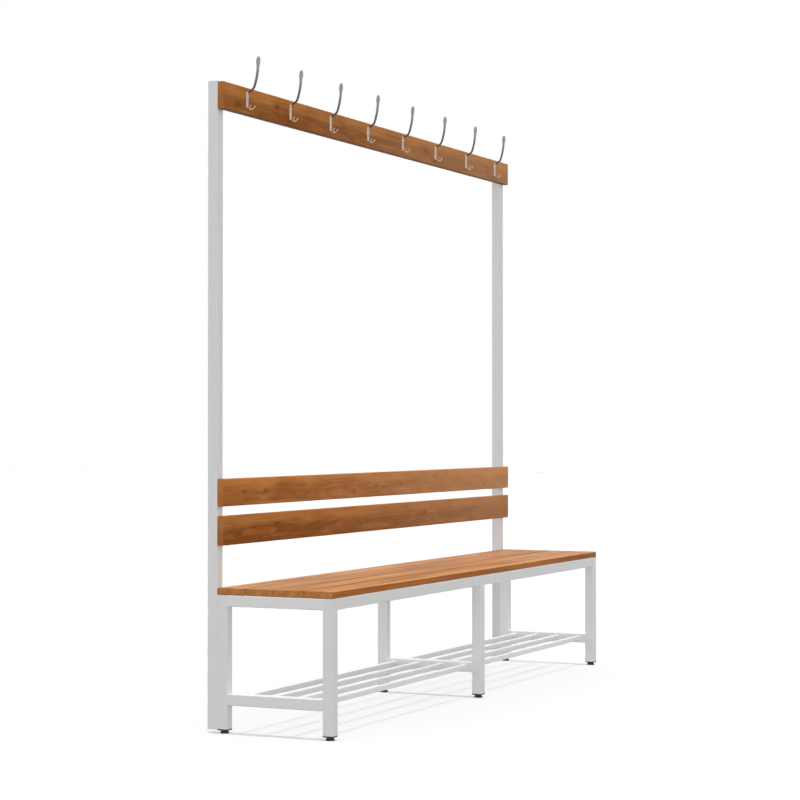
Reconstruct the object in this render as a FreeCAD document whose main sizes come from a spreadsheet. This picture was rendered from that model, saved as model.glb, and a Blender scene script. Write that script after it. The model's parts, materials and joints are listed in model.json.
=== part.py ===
import FreeCAD, Part

# Changing room bench: welded square-tube frames, slatted seat, shoe shelf,
# back boards and a hook board on two posts. Millimetres, +Z up, the front
# faces -Y, and the origin is at the middle of the floor area.

import math
import os
from types import SimpleNamespace

import Sketcher
from FreeCAD import Placement, Rotation, Vector

# Driving sizes: name, value and meaning. Lengths in mm, angles in degrees.
SIZES = (
    ("length", 2000, "overall length over the end frames"),
    ("seat_depth", 345, "front of the front legs to the back of the rear legs"),
    ("leg_length", 356, "leg tube, from its lower end to the slats"),
    ("post_length", 1726, "post tube, from the legs' lower end to the hook board's top"),
    ("tube", 30, "side of the square frame tube"),
    ("tube_wall", 1.5, "wall of the frame tube"),
    ("tube_corner", 2, "outer corner radius of the frame tube"),
    ("shelf_bar", 15, "side of the square shelf bar"),
    ("shelf_bar_wall", 1.2, "wall of the shelf bar"),
    ("shelf_bar_corner", 1.5, "outer corner radius of the shelf bar"),
    ("bar_pitch", 77, "distance between shelf bars"),
    ("shelf_rail_rise", 64, "legs' lower end to the underside of the shelf's cross rail"),
    ("slat_thickness", 19, "seat slat"),
    ("slat_gap", 0.5, "gap between seat slats, laid close together"),
    ("board_thickness", 19, "back boards and hook board"),
    ("wood_easing", 3, "rounding along the long edges of a slat or board"),
    ("end_easing", 1, "rounding around the sawn ends of a slat or board"),
    ("lower_board_height", 79, "lower back board"),
    ("upper_board_height", 74, "upper back board"),
    ("hook_board_height", 74, "hook board"),
    ("lower_board_rise", 112, "seat top to the lower back board"),
    ("board_gap", 25, "gap between the two back boards"),
    ("flange", 3.5, "flange of a foot insert"),
    ("cap_flange", 2, "flange of a post cap"),
    ("plug_length", 18, "length of a foot insert's plug inside its leg"),
    ("cap_screw_gap", 1.5, "post cap's plug to the nearest board screw"),
    ("plug_clearance", 0.1, "gap between a plug and the tube around it"),
    ("plug_corner", 1.5, "corner radius of a plug inside its tube"),
    ("plug_lead", 1, "chamfer on the inner end of a plug"),
    ("glide_height", 8.5, "levelling glide below the insert's flange"),
    ("glide_base_radius", 12.2, "underside of the glide"),
    ("glide_neck_radius", 10.5, "top of the glide's pad"),
    ("glide_rim", 3, "height of the glide's widest band"),
    ("glide_bevel", 0.8, "bevel around the glide's underside"),
    ("stem_radius", 4, "threaded stem of the glide"),
    ("stem_length", 24, "stem above the glide's pad"),
    ("stem_lead", 1, "bevel at the stem's end"),
    ("thread_clearance", 0.05, "radial gap between the stem and its insert"),
    ("strap_width", 8.5, "back strap of a coat hook"),
    ("strap_height", 42.5, "back strap of a coat hook"),
    ("strap_thickness", 4, "back strap of a coat hook"),
    ("strap_corner", 3.5, "corner radius of the strap's outline"),
    ("strap_easing", 2.8, "rounding of the strap's front edges"),
    ("strap_drop", 13.5, "hook board's top to the strap's top"),
    ("arm_radius", 3.2, "upper arm of a coat hook"),
    ("arm_root_drop", 1.8, "strap's top to the arm's root"),
    ("arm_root_run", 17.8, "straight root of the upper arm"),
    ("arm_rise_angle", 30, "slope of the arm's root"),
    ("arm_bend_radius", 14, "tight bend of the arm"),
    ("arm_bend_turn", 40, "angle turned in the tight bend"),
    ("arm_sweep_radius", 185, "long upper curve of the arm"),
    ("arm_sweep_turn", 16, "angle turned in the long curve"),
    ("arm_tip_run", 7.4, "straight end of the arm, into the knob"),
    ("knob_half_length", 13.4, "knob at the arm's end"),
    ("knob_half_width", 6.6, "knob, half of its width across"),
    ("knob_half_depth", 5.3, "knob, half of its depth front to back"),
    ("knob_rise", 10.5, "arm's end to the knob's middle"),
    ("prong_radius", 1.6, "lower prongs of a coat hook"),
    ("prong_root_rise", 1.8, "strap's lower end to the prongs' root"),
    ("prong_spread_angle", 33, "angle of each prong from straight ahead"),
    ("prong_root_run", 9.3, "straight root of a prong"),
    ("prong_drop_angle", 30, "downward slope of a prong's root"),
    ("prong_bend_radius", 5, "bend of a prong"),
    ("prong_bend_turn", 78, "angle turned in a prong's bend"),
    ("prong_tip_run", 9, "straight end of a prong"),
    ("prong_tip_radius", 2.2, "rounded tip of a prong"),
    ("screw_radius", 2.25, "shank of a wood screw"),
    ("board_screw_length", 45, "screw through a post into a board, under its head"),
    ("slat_screw_length", 16, "screw inside a cross rail into a slat, under its head"),
    ("screw_point", 5, "tapered point of a wood screw"),
    ("screw_head_radius", 4.2, "pan head of a wood screw"),
    ("screw_head_height", 2.4, "pan head of a wood screw"),
    ("screw_head_crown", 1, "rounded top of the pan head"),
    ("screw_play", 0.25, "radial gap between a screw and the tube's hole"),
    ("board_screw_spacing", 44, "two screws in each board end"),
    ("pilot_clearance", 0.05, "radial gap between a screw and its wood"),
    ("hook_screw_radius", 1.5, "shank of a hook screw"),
    ("hook_screw_length", 16, "hook screw over its flush head"),
    ("hook_screw_point", 3, "tapered point of a hook screw"),
    ("hook_screw_head_radius", 2.9, "countersunk head of a hook screw"),
    ("hook_screw_spacing", 20, "two screws in each strap"),
    ("recess_width", 1, "slot of a cross recess"),
    ("recess_share", 0.55, "cross recess, share of the head's height and radius"),
    ("bolt_radius", 4, "post bolt"),
    ("bolt_play", 0.25, "radial gap between a bolt and its hole"),
    ("bolt_head_radius", 7, "button head of a post bolt"),
    ("bolt_head_height", 4.4, "button head of a post bolt"),
    ("bolt_crown_radius", 3.5, "flat top of the button head"),
    ("bolt_end", 2, "bolt past its nut"),
    ("bolt_socket", 2.9, "corner radius of the hexagon socket"),
    ("bolt_socket_depth", 2.6, "depth of the hexagon socket"),
    ("bolt_inset", 50, "leg's ends to the post bolts"),
    ("nut_corner_radius", 7.5, "hexagon nut over its corners, halved"),
    ("nut_height", 6.5, "hexagon nut"),
    ("overrun", 1, "extra reach of a cut past the face that it leaves by"),
)
FRAMES = ("left", "middle", "right")
ENDS = ("left", "right")
SLATS = 4
BARS = 4
HOOKS = 8
HEX_SIDES = 6
DECIMALS = 3
FULL_TURN = 360
HALF_TURN = 180
ABOUT_X = Vector(1, 0, 0)
ABOUT_Y = Vector(0, 1, 0)
ABOUT_Z = Vector(0, 0, 1)

doc = FreeCAD.newDocument("changing_room_bench")


# Spreadsheet

def make_sheet():
    """Write the driving sizes into a spreadsheet, one alias a row."""
    sheet = doc.addObject("Spreadsheet::Sheet", "Sizes")
    for row, (alias, amount, meaning) in enumerate(SIZES, start=1):
        sheet.set(f"A{row}", alias)
        sheet.set(f"B{row}", str(amount))
        sheet.set(f"C{row}", meaning)
        sheet.setAlias(f"B{row}", alias)
    doc.recompute()
    return sheet


sheet = make_sheet()
mm = SimpleNamespace(**{alias: float(sheet.get(alias)) for alias, _, _ in SIZES})


def number(expression):
    """Value of an expression on the sheet's aliases."""
    return float(sheet.evalExpression(expression))


# Boards on the posts: the underside above the posts' lower end, and the height
lower_board_low = "Sizes.leg_length + Sizes.slat_thickness + Sizes.lower_board_rise"
BOARDS = {
    "lower_back_board": (f"({lower_board_low})", "Sizes.lower_board_height"),
    "upper_back_board": (f"({lower_board_low} + Sizes.lower_board_height + Sizes.board_gap)",
                         "Sizes.upper_board_height"),
    "hook_board": ("(Sizes.post_length - Sizes.hook_board_height)", "Sizes.hook_board_height"),
}

# Places shared by several pieces, worked out from the sheet
front_y = -(mm.seat_depth + mm.tube + mm.bolt_head_height) / 2
rear_y = front_y + mm.seat_depth
left_x = -mm.length / 2
frame_z = mm.glide_height + mm.flange
seat_frame_z = frame_z + mm.leg_length
shelf_rail_z = frame_z + mm.shelf_rail_rise
post_top_z = frame_z + mm.post_length
board_y = rear_y - mm.board_thickness
slat_width = (mm.seat_depth - (SLATS - 1) * mm.slat_gap) / SLATS
slat_pitch = slat_width + mm.slat_gap
cross_length = mm.seat_depth - 2 * mm.tube
frame_x = {
    "left": left_x,
    "middle": -mm.tube / 2,
    "right": -left_x - mm.tube,
}
post_mid_x = {end: frame_x[end] + mm.tube / 2 for end in ENDS}
bolt_z = (frame_z + mm.bolt_inset, seat_frame_z - mm.bolt_inset)
hook_x = [(step - (HOOKS - 1) / 2) * mm.length / HOOKS for step in range(HOOKS)]
strap_mid_z = post_top_z - mm.strap_drop - mm.strap_height / 2
facing_back = Rotation(ABOUT_Z, HALF_TURN)
pieces = []


# Sketching

def new_body(label, corner, rotation=Rotation()):
    """Body of one piece, placed by its local origin."""
    body = doc.addObject("PartDesign::Body", label)
    body.Label = label
    body.Placement = Placement(corner, rotation)
    pieces.append(body)
    return body


def new_sketch(body, role, name, offset=None):
    """Sketch on one of the body's own origin planes."""
    plane = next(item for item in body.Origin.OriginFeatures if item.Role == role)
    sketch = body.newObject("Sketcher::SketchObject", name)
    sketch.AttachmentSupport = [(plane, "")]
    sketch.MapMode = "FlatFace"
    if offset is not None:
        sketch.AttachmentOffset = offset
    return sketch


def size_constraint(sketch, kind, expression, *where, scale=1):
    """Add a constraint whose value follows an expression."""
    index = sketch.addConstraint(Sketcher.Constraint(kind, *where, number(expression) * scale))
    sketch.setExpression(f"Constraints[{index}]", expression)


def angle_constraint(sketch, expression, *where):
    """Add an angle, in degrees on the sheet, to a sketch."""
    size_constraint(sketch, "Angle", f"({expression}) * 1 deg", *where, scale=math.radians(1))


def fix_point(sketch, geometry, point, across, up):
    """Hold one point at two expressions from the sketch's origin."""
    for kind, axis, expression in (("DistanceX", -2, across), ("DistanceY", -1, up)):
        amount = number(expression)
        if amount == 0:
            sketch.addConstraint(Sketcher.Constraint("PointOnObject", geometry, point, axis))
        elif amount > 0:
            size_constraint(sketch, kind, expression, -1, 1, geometry, point)
        else:
            size_constraint(sketch, kind, f"-({expression})", geometry, point, -1, 1)


def draw_polygon(sketch, corners):
    """Closed outline through corners given as pairs of expressions."""
    spots = [Vector(number(across), number(up), 0) for across, up in corners]
    lines = []
    for start, end in zip(spots, spots[1:] + spots[:1]):
        lines.append(sketch.addGeometry(Part.LineSegment(start, end), False))
    for line, following in zip(lines, lines[1:] + lines[:1]):
        sketch.addConstraint(Sketcher.Constraint("Coincident", line, 2, following, 1))
    for line, (across, up) in zip(lines, corners):
        fix_point(sketch, line, 1, across, up)


def draw_circle(sketch, across, up, radius):
    """Circle at a place given by expressions."""
    centre = Vector(number(across), number(up), 0)
    circle = sketch.addGeometry(Part.Circle(centre, ABOUT_Z, number(radius)), False)
    size_constraint(sketch, "Radius", radius, circle)
    fix_point(sketch, circle, 3, across, up)


def draw_rounded_rectangle(sketch, width, height, radius, inset=None):
    """Rectangle with round corners, centred, or with its low corner at an inset."""
    wide = number(width)
    high = number(height)
    turn = number(radius)
    low = Vector(-wide / 2, -high / 2, 0) if inset is None else Vector(number(inset), number(inset), 0)
    quarter = math.pi / 2
    lines = []
    arcs = []
    straights = (
        (turn, 0, wide - turn, 0),
        (wide, turn, wide, high - turn),
        (wide - turn, high, turn, high),
        (0, high - turn, 0, turn),
    )
    for x1, y1, x2, y2 in straights:
        segment = Part.LineSegment(low + Vector(x1, y1, 0), low + Vector(x2, y2, 0))
        lines.append(sketch.addGeometry(segment, False))
    centres = ((wide - turn, turn), (wide - turn, high - turn), (turn, high - turn), (turn, turn))
    for step, (x, y) in enumerate(centres):
        circle = Part.Circle(low + Vector(x, y, 0), ABOUT_Z, turn)
        arc = Part.ArcOfCircle(circle, (step - 1) * quarter, step * quarter)
        arcs.append(sketch.addGeometry(arc, False))
    for line, arc, following in zip(lines, arcs, lines[1:] + lines[:1]):
        sketch.addConstraint(Sketcher.Constraint("Tangent", line, 2, arc, 1))
        sketch.addConstraint(Sketcher.Constraint("Tangent", arc, 2, following, 1))
    for line in (lines[0], lines[2]):
        sketch.addConstraint(Sketcher.Constraint("Horizontal", line))
    for line in (lines[1], lines[3]):
        sketch.addConstraint(Sketcher.Constraint("Vertical", line))
    for arc in arcs[1:]:
        sketch.addConstraint(Sketcher.Constraint("Equal", arcs[0], arc))
    size_constraint(sketch, "Radius", radius, arcs[0])
    size_constraint(sketch, "DistanceX", width, lines[3], 1, lines[1], 1)
    size_constraint(sketch, "DistanceY", height, lines[0], 1, lines[2], 1)
    if inset is None:
        sketch.addConstraint(Sketcher.Constraint("Symmetric", arcs[0], 3, arcs[2], 3, -1, 1))
    elif number(inset) == 0:
        sketch.addConstraint(Sketcher.Constraint("PointOnObject", lines[3], 1, -2))
        sketch.addConstraint(Sketcher.Constraint("PointOnObject", lines[0], 1, -1))
    else:
        size_constraint(sketch, "DistanceX", inset, -1, 1, lines[3], 1)
        size_constraint(sketch, "DistanceY", inset, -1, 1, lines[0], 1)


# Features

def pad(body, sketch, expression, reverse=False):
    """Pad of a sketch, its length bound to an expression."""
    feature = body.newObject("PartDesign::Pad", f"{sketch.Name}_pad")
    feature.Profile = sketch
    feature.Reversed = reverse
    feature.setExpression("Length", expression)
    return feature


def cut_through(body, sketch):
    """Cut a sketch through the whole piece, both ways."""
    feature = body.newObject("PartDesign::Pocket", f"{sketch.Name}_cut")
    feature.Profile = sketch
    feature.Type = "ThroughAll"
    feature.SideType = "Symmetric"
    return feature


def cut_blind(body, sketch, expression, reverse=False):
    """Cut a sketch to a depth bound to an expression."""
    feature = body.newObject("PartDesign::Pocket", f"{sketch.Name}_cut")
    feature.Profile = sketch
    feature.Reversed = reverse
    feature.setExpression("Length", expression)
    return feature


def dress_edges(body, kind, chosen, size_name, expression):
    """Fillet or chamfer the edges of the body's last feature that a test picks."""
    doc.recompute()
    base = body.Tip
    names = [f"Edge{index}" for index, edge in enumerate(base.Shape.Edges, start=1) if chosen(edge)]
    feature = body.newObject(f"PartDesign::{kind}", f"{base.Name}_{kind.lower()}")
    feature.Base = (base, names)
    feature.setExpression(size_name, expression)
    return feature


def flat_at(axis, level):
    """Test for edges that lie wholly at one level along an axis."""
    low = f"{axis}Min"
    high = f"{axis}Max"

    def chosen(edge):
        box = edge.BoundBox
        apart = max(abs(getattr(box, low) - level), abs(getattr(box, high) - level))
        return round(apart, DECIMALS) == 0
    return chosen


def runs_along_x(edge):
    """Test for edges that reach from one end of a piece to the other along X."""
    box = edge.BoundBox
    return box.XLength > box.YLength + box.ZLength


# Tubes

TUBE_PLANES = {"X": ("YZ_Plane", False), "Y": ("XZ_Plane", True), "Z": ("XY_Plane", False)}


def make_tube(label, axis, corner, length, section="tube", rotation=Rotation()):
    """Square tube along one axis, its local origin at its low corner."""
    role, reverse = TUBE_PLANES[axis]
    side = f"Sizes.{section}"
    wall = f"Sizes.{section}_wall"
    radius = f"Sizes.{section}_corner"
    body = new_body(label, corner, rotation)
    outline = new_sketch(body, role, f"{label}_section")
    draw_rounded_rectangle(outline, side, side, radius, inset="0")
    draw_rounded_rectangle(outline, f"{side} - 2 * {wall}", f"{side} - 2 * {wall}",
                           f"{radius} - {wall}", inset=wall)
    pad(body, outline, length, reverse)
    return body


def make_legs():
    """Six legs: the middle ones stop under the long rails."""
    for frame in FRAMES:
        length = "Sizes.leg_length"
        if frame == "middle":
            length = "Sizes.leg_length - Sizes.tube"
        make_tube(f"leg_front_{frame}", "Z", Vector(frame_x[frame], front_y, frame_z), length)
        rear_corner = Vector(frame_x[frame] + mm.tube, rear_y, frame_z)
        leg = make_tube(f"leg_rear_{frame}", "Z", rear_corner, length, rotation=facing_back)
        if frame in ENDS:
            bore_leg(leg)


def bore_leg(leg):
    """Two bolt holes through the wall that faces the post."""
    holes = new_sketch(leg, "XZ_Plane", f"{leg.Label}_bolt_holes")
    for up in ("Sizes.bolt_inset", "Sizes.leg_length - Sizes.bolt_inset"):
        draw_circle(holes, "Sizes.tube / 2", up, "Sizes.bolt_radius + Sizes.bolt_play")
    cut_blind(leg, holes, "Sizes.tube / 2")


def make_cross_rails():
    """Rails from front leg to rear leg: one at the shelf, and one under the slats.

    The slat screws stand inside the upper rail, and their heads go in through
    wider holes in its lower wall.
    """
    length = "Sizes.seat_depth - 2 * Sizes.tube"
    cross_y = front_y + mm.tube
    for frame in FRAMES:
        seat_corner = Vector(frame_x[frame], cross_y, seat_frame_z - mm.tube)
        rail = make_tube(f"seat_cross_rail_{frame}", "Y", seat_corner, length)
        holes = new_sketch(rail, "XY_Plane", f"{rail.Label}_screw_holes")
        doors = new_sketch(rail, "XY_Plane", f"{rail.Label}_head_holes")
        for slat in range(SLATS):
            place = f"{slat_middle(slat)} - Sizes.tube"
            draw_circle(holes, "Sizes.tube / 2", place, "Sizes.screw_radius + Sizes.screw_play")
            draw_circle(doors, "Sizes.tube / 2", place, "Sizes.screw_head_radius + Sizes.screw_play")
        cut_through(rail, holes)
        cut_blind(rail, doors, "Sizes.tube / 2", True)
        make_tube(f"shelf_cross_rail_{frame}", "Y",
                  Vector(frame_x[frame], cross_y, shelf_rail_z), length)


def slat_middle(slat):
    """Expression for a slat's middle, from the front of the legs."""
    pitch = f"(Sizes.seat_depth + Sizes.slat_gap) / {SLATS}"
    return f"({slat} * {pitch} + ({pitch} - Sizes.slat_gap) / 2)"


def make_long_rails():
    """Rails along the front and the back of the seat, between the end legs."""
    length = "Sizes.length - 2 * Sizes.tube"
    rail_z = seat_frame_z - mm.tube
    make_tube("front_seat_rail", "X", Vector(left_x + mm.tube, front_y, rail_z), length)
    make_tube("rear_seat_rail", "X", Vector(left_x + mm.tube, rear_y - mm.tube, rail_z), length)


def make_posts():
    """Posts behind the end frames, bored for the board screws and the leg bolts."""
    for end in ENDS:
        post = make_tube(f"back_post_{end}", "Z", Vector(frame_x[end], rear_y, frame_z),
                         "Sizes.post_length")
        screws = new_sketch(post, "XZ_Plane", f"{post.Label}_screw_holes")
        for low, height in BOARDS.values():
            for side in ("-", "+"):
                up = f"{low} + {height} / 2 {side} Sizes.board_screw_spacing / 2"
                draw_circle(screws, "Sizes.tube / 2", up, "Sizes.screw_radius + Sizes.screw_play")
        cut_through(post, screws)
        bolts = new_sketch(post, "XZ_Plane", f"{post.Label}_bolt_holes")
        for up in ("Sizes.bolt_inset", "Sizes.leg_length - Sizes.bolt_inset"):
            draw_circle(bolts, "Sizes.tube / 2", up, "Sizes.bolt_radius + Sizes.bolt_play")
        cut_through(post, bolts)


def make_shelf_bars():
    """Four bars a bay, butted between the cross rails of the shelf."""
    length = "(Sizes.length - 3 * Sizes.tube) / 2"
    bar_z = shelf_rail_z + (mm.tube - mm.shelf_bar) / 2
    middle_y = front_y + mm.seat_depth / 2
    for bay, start in (("left", "left"), ("right", "middle")):
        for step in range(BARS):
            bar_y = middle_y + (step - (BARS - 1) / 2) * mm.bar_pitch - mm.shelf_bar / 2
            corner = Vector(frame_x[start] + mm.tube, bar_y, bar_z)
            make_tube(f"shelf_bar_{bay}_{step + 1}", "X", corner, length, section="shelf_bar")


# Wood

def make_timber(label, corner, width, thickness, upright, rotation=Rotation()):
    """Plank along X with round long edges and crisper ends, its local origin at its low corner."""
    body = new_body(label, corner, rotation)
    outline = new_sketch(body, "YZ_Plane", f"{label}_section")
    across, up = (thickness, width) if upright else (width, thickness)
    draw_polygon(outline, (("0", "0"), (across, "0"), (across, up), ("0", up)))
    pad(body, outline, "Sizes.length")
    dress_edges(body, "Fillet", runs_along_x, "Radius", "Sizes.wood_easing")
    for end in (0, mm.length):
        dress_edges(body, "Fillet", flat_at("X", end), "Radius", "Sizes.end_easing")
    return body


def make_slats():
    """Four seat slats, with a pilot hole over each cross rail."""
    width = f"(Sizes.seat_depth - {SLATS - 1} * Sizes.slat_gap) / {SLATS}"
    rail_middles = ("Sizes.tube / 2", "Sizes.length / 2", "Sizes.length - Sizes.tube / 2")
    for slat in range(SLATS):
        corner = Vector(left_x, front_y + slat * slat_pitch, seat_frame_z)
        body = make_timber(f"seat_slat_{slat + 1}", corner, width, "Sizes.slat_thickness", False)
        pilots = new_sketch(body, "XY_Plane", f"{body.Label}_pilots")
        for middle in rail_middles:
            draw_circle(pilots, middle, f"({width}) / 2", "Sizes.screw_radius + Sizes.pilot_clearance")
        cut_blind(body, pilots, "Sizes.slat_screw_length - Sizes.tube_wall + Sizes.pilot_clearance", True)


def make_boards():
    """Back boards and hook board, drilled from behind, where their local origin is."""
    for label, (low, height) in BOARDS.items():
        corner = Vector(-left_x, rear_y, frame_z + number(low))
        body = make_timber(label, corner, height, "Sizes.board_thickness", True, facing_back)
        pilots = new_sketch(body, "XZ_Plane", f"{label}_pilots")
        for middle in ("Sizes.tube / 2", "Sizes.length - Sizes.tube / 2"):
            for side in ("-", "+"):
                up = f"{height} / 2 {side} Sizes.board_screw_spacing / 2"
                draw_circle(pilots, middle, up, "Sizes.screw_radius + Sizes.pilot_clearance")
        cut_blind(body, pilots, "Sizes.board_screw_length - Sizes.tube + Sizes.pilot_clearance")
    bore_hook_board(body)


def bore_hook_board(board):
    """Pilot holes for the hook screws, drilled into the board's front."""
    front = Placement(Vector(0, 0, -mm.board_thickness), Rotation())
    pilots = new_sketch(board, "XZ_Plane", f"{board.Label}_hook_pilots", front)
    middle = "(Sizes.hook_board_height - Sizes.strap_drop - Sizes.strap_height / 2)"
    for step in range(HOOKS):
        across = f"({step} + 1 / 2) * Sizes.length / {HOOKS}"
        for side in ("-", "+"):
            up = f"{middle} {side} Sizes.hook_screw_spacing / 2"
            draw_circle(pilots, across, up, "Sizes.hook_screw_radius + Sizes.pilot_clearance")
    depth = "Sizes.hook_screw_length - Sizes.strap_thickness + Sizes.pilot_clearance"
    cut_blind(board, pilots, depth, True)


# Plugs and feet

def make_plug(label, corner, flange, reach, bored, rotation=Rotation()):
    """Square plug with a flange that covers the end of its tube."""
    body = new_body(label, corner, rotation)
    cover = new_sketch(body, "XY_Plane", f"{label}_flange")
    draw_rounded_rectangle(cover, "Sizes.tube", "Sizes.tube", "Sizes.tube_corner")
    pad(body, cover, flange)
    side = "Sizes.tube - 2 * Sizes.tube_wall - 2 * Sizes.plug_clearance"
    core = new_sketch(body, "XY_Plane", f"{label}_core")
    draw_rounded_rectangle(core, side, side, "Sizes.plug_corner")
    pad(body, core, f"{flange} + {reach}")
    top = number(f"{flange} + {reach}")
    dress_edges(body, "Chamfer", flat_at("Z", top), "Size", "Sizes.plug_lead")
    if bored:
        bore = new_sketch(body, "XY_Plane", f"{label}_thread")
        draw_circle(bore, "0", "0", "Sizes.stem_radius + Sizes.thread_clearance")
        cut_through(body, bore)


def make_post_caps():
    """A cap in each end of each post, clear of the hook board's screws."""
    reach = ("(Sizes.hook_board_height - Sizes.board_screw_spacing) / 2"
             " - Sizes.screw_radius - Sizes.screw_play - Sizes.cap_screw_gap")
    upside_down = Rotation(ABOUT_X, HALF_TURN)
    for end in ENDS:
        middle = Vector(post_mid_x[end], rear_y + mm.tube / 2, 0)
        high = middle + Vector(0, 0, post_top_z + mm.cap_flange)
        low = middle + Vector(0, 0, frame_z - mm.cap_flange)
        make_plug(f"post_top_cap_{end}", high, "Sizes.cap_flange", reach, False, upside_down)
        make_plug(f"post_bottom_cap_{end}", low, "Sizes.cap_flange", reach, False)


def make_feet():
    """A threaded insert in each leg, and the glide that screws into it."""
    for side, leg_y in (("front", front_y), ("rear", rear_y - mm.tube)):
        for frame in FRAMES:
            middle = Vector(frame_x[frame] + mm.tube / 2, leg_y + mm.tube / 2, 0)
            make_plug(f"foot_insert_{side}_{frame}", middle + Vector(0, 0, mm.glide_height),
                      "Sizes.flange", "Sizes.plug_length", True)
            make_glide(f"levelling_glide_{side}_{frame}", middle)


def make_glide(label, corner):
    """Round foot turned in one piece with its stem, standing on its local origin."""
    body = new_body(label, corner)
    profile = new_sketch(body, "XZ_Plane", f"{label}_profile")
    stem_top = "(Sizes.glide_height + Sizes.stem_length)"
    draw_polygon(profile, (
        ("0", "0"),
        ("Sizes.glide_base_radius - Sizes.glide_bevel", "0"),
        ("Sizes.glide_base_radius", "Sizes.glide_bevel"),
        ("Sizes.glide_base_radius", "Sizes.glide_rim"),
        ("Sizes.glide_neck_radius", "Sizes.glide_rim + Sizes.glide_bevel"),
        ("Sizes.glide_neck_radius", "Sizes.glide_height"),
        ("Sizes.stem_radius", "Sizes.glide_height"),
        ("Sizes.stem_radius", f"{stem_top} - Sizes.stem_lead"),
        ("Sizes.stem_radius - Sizes.stem_lead", stem_top),
        ("0", stem_top),
    ))
    turned = body.newObject("PartDesign::Revolution", f"{label}_turned")
    turned.Profile = profile
    turned.ReferenceAxis = (profile, ["V_Axis"])
    turned.Angle = FULL_TURN


# Coat hooks

class Route:
    """Tangent line and left-hand bends in a sketch, tracked as they are drawn."""

    def __init__(self, sketch, ahead, up, heading):
        self.sketch = sketch
        self.spot = Vector(number(ahead), number(up), 0)
        self.heading = number(heading)
        self.start = (ahead, up)
        self.slope = heading
        self.last = None

    def direction(self, lean=0):
        angle = math.radians(self.heading + lean)
        return Vector(math.cos(angle), math.sin(angle), 0)

    def join(self, geometry):
        if self.last is None:
            fix_point(self.sketch, geometry, 1, *self.start)
            steep = self.slope if number(self.slope) > 0 else f"-({self.slope})"
            pair = (-1, 1, geometry, 1) if number(self.slope) > 0 else (geometry, 1, -1, 1)
            angle_constraint(self.sketch, steep, *pair)
        else:
            self.sketch.addConstraint(Sketcher.Constraint("Tangent", self.last, 2, geometry, 1))
        self.last = geometry

    def run(self, length):
        """Straight stretch."""
        end = self.spot + self.direction() * number(length)
        line = self.sketch.addGeometry(Part.LineSegment(self.spot, end), False)
        self.join(line)
        size_constraint(self.sketch, "Distance", length, line)
        self.spot = end

    def bend(self, radius, turn):
        """Bend to the left through an angle in degrees."""
        reach = number(radius)
        quarter = FULL_TURN / 4
        centre = self.spot + self.direction(quarter) * reach
        begin = math.radians(self.heading - quarter)
        span = math.radians(number(turn))
        circle = Part.Circle(centre, ABOUT_Z, reach)
        arc = self.sketch.addGeometry(Part.ArcOfCircle(circle, begin, begin + span), False)
        self.join(arc)
        size_constraint(self.sketch, "Radius", radius, arc)
        angle_constraint(self.sketch, turn, arc)
        self.heading += number(turn)
        self.spot = centre + self.direction(-quarter) * reach


def make_rod(body, name, route, radius, swing):
    """Round rod along a route in an upright plane, swung about the vertical."""
    ahead, up = (number(part) for part in route.start)
    side = math.radians(swing)
    turn = Rotation(ABOUT_Y, swing).multiply(Rotation(ABOUT_X, number(route.slope)))
    root = Vector(-ahead * math.sin(side), up, -ahead * math.cos(side))
    ring = new_sketch(body, "XZ_Plane", f"{name}_ring", Placement(root, turn))
    draw_circle(ring, "0", "0", radius)
    rod = body.newObject("PartDesign::AdditivePipe", name)
    rod.Profile = ring
    rod.Spine = route.sketch
    rod.Mode = "Frenet"
    return rod


def make_coat_hook(label, corner):
    """Cast hook: back strap, tall arm with a knob, and two short lower prongs."""
    body = new_body(label, corner, facing_back)
    outline = new_sketch(body, "XZ_Plane", f"{label}_strap")
    draw_rounded_rectangle(outline, "Sizes.strap_width", "Sizes.strap_height", "Sizes.strap_corner")
    pad(body, outline, "Sizes.strap_thickness", True)
    dress_edges(body, "Fillet", flat_at("Y", mm.strap_thickness), "Radius", "Sizes.strap_easing")
    add_arm(body, label)
    for side, swing in (("left", -mm.prong_spread_angle), ("right", mm.prong_spread_angle)):
        add_prong(body, f"{label}_{side}", swing)
    bore_strap(body, label)


def add_arm(body, label):
    """Upper arm from the strap's top, ending in an oval knob."""
    spine = new_sketch(body, "YZ_Plane", f"{label}_arm_line")
    arm = Route(spine, "Sizes.strap_thickness / 2", "Sizes.strap_height / 2 - Sizes.arm_root_drop",
                "Sizes.arm_rise_angle")
    arm.run("Sizes.arm_root_run")
    arm.bend("Sizes.arm_bend_radius", "Sizes.arm_bend_turn")
    arm.bend("Sizes.arm_sweep_radius", "Sizes.arm_sweep_turn")
    arm.run("Sizes.arm_tip_run")
    make_rod(body, f"{label}_arm", arm, "Sizes.arm_radius", 0)
    middle = arm.spot + arm.direction() * mm.knob_rise
    knob = body.newObject("PartDesign::AdditiveEllipsoid", f"{label}_knob")
    knob.setExpression("Radius1", "Sizes.knob_half_length")
    knob.setExpression("Radius2", "Sizes.knob_half_width")
    knob.setExpression("Radius3", "Sizes.knob_half_depth")
    tilt = Rotation(ABOUT_X, arm.heading - FULL_TURN / 4)
    knob.Placement = Placement(Vector(0, middle.x, middle.y), tilt)


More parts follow.
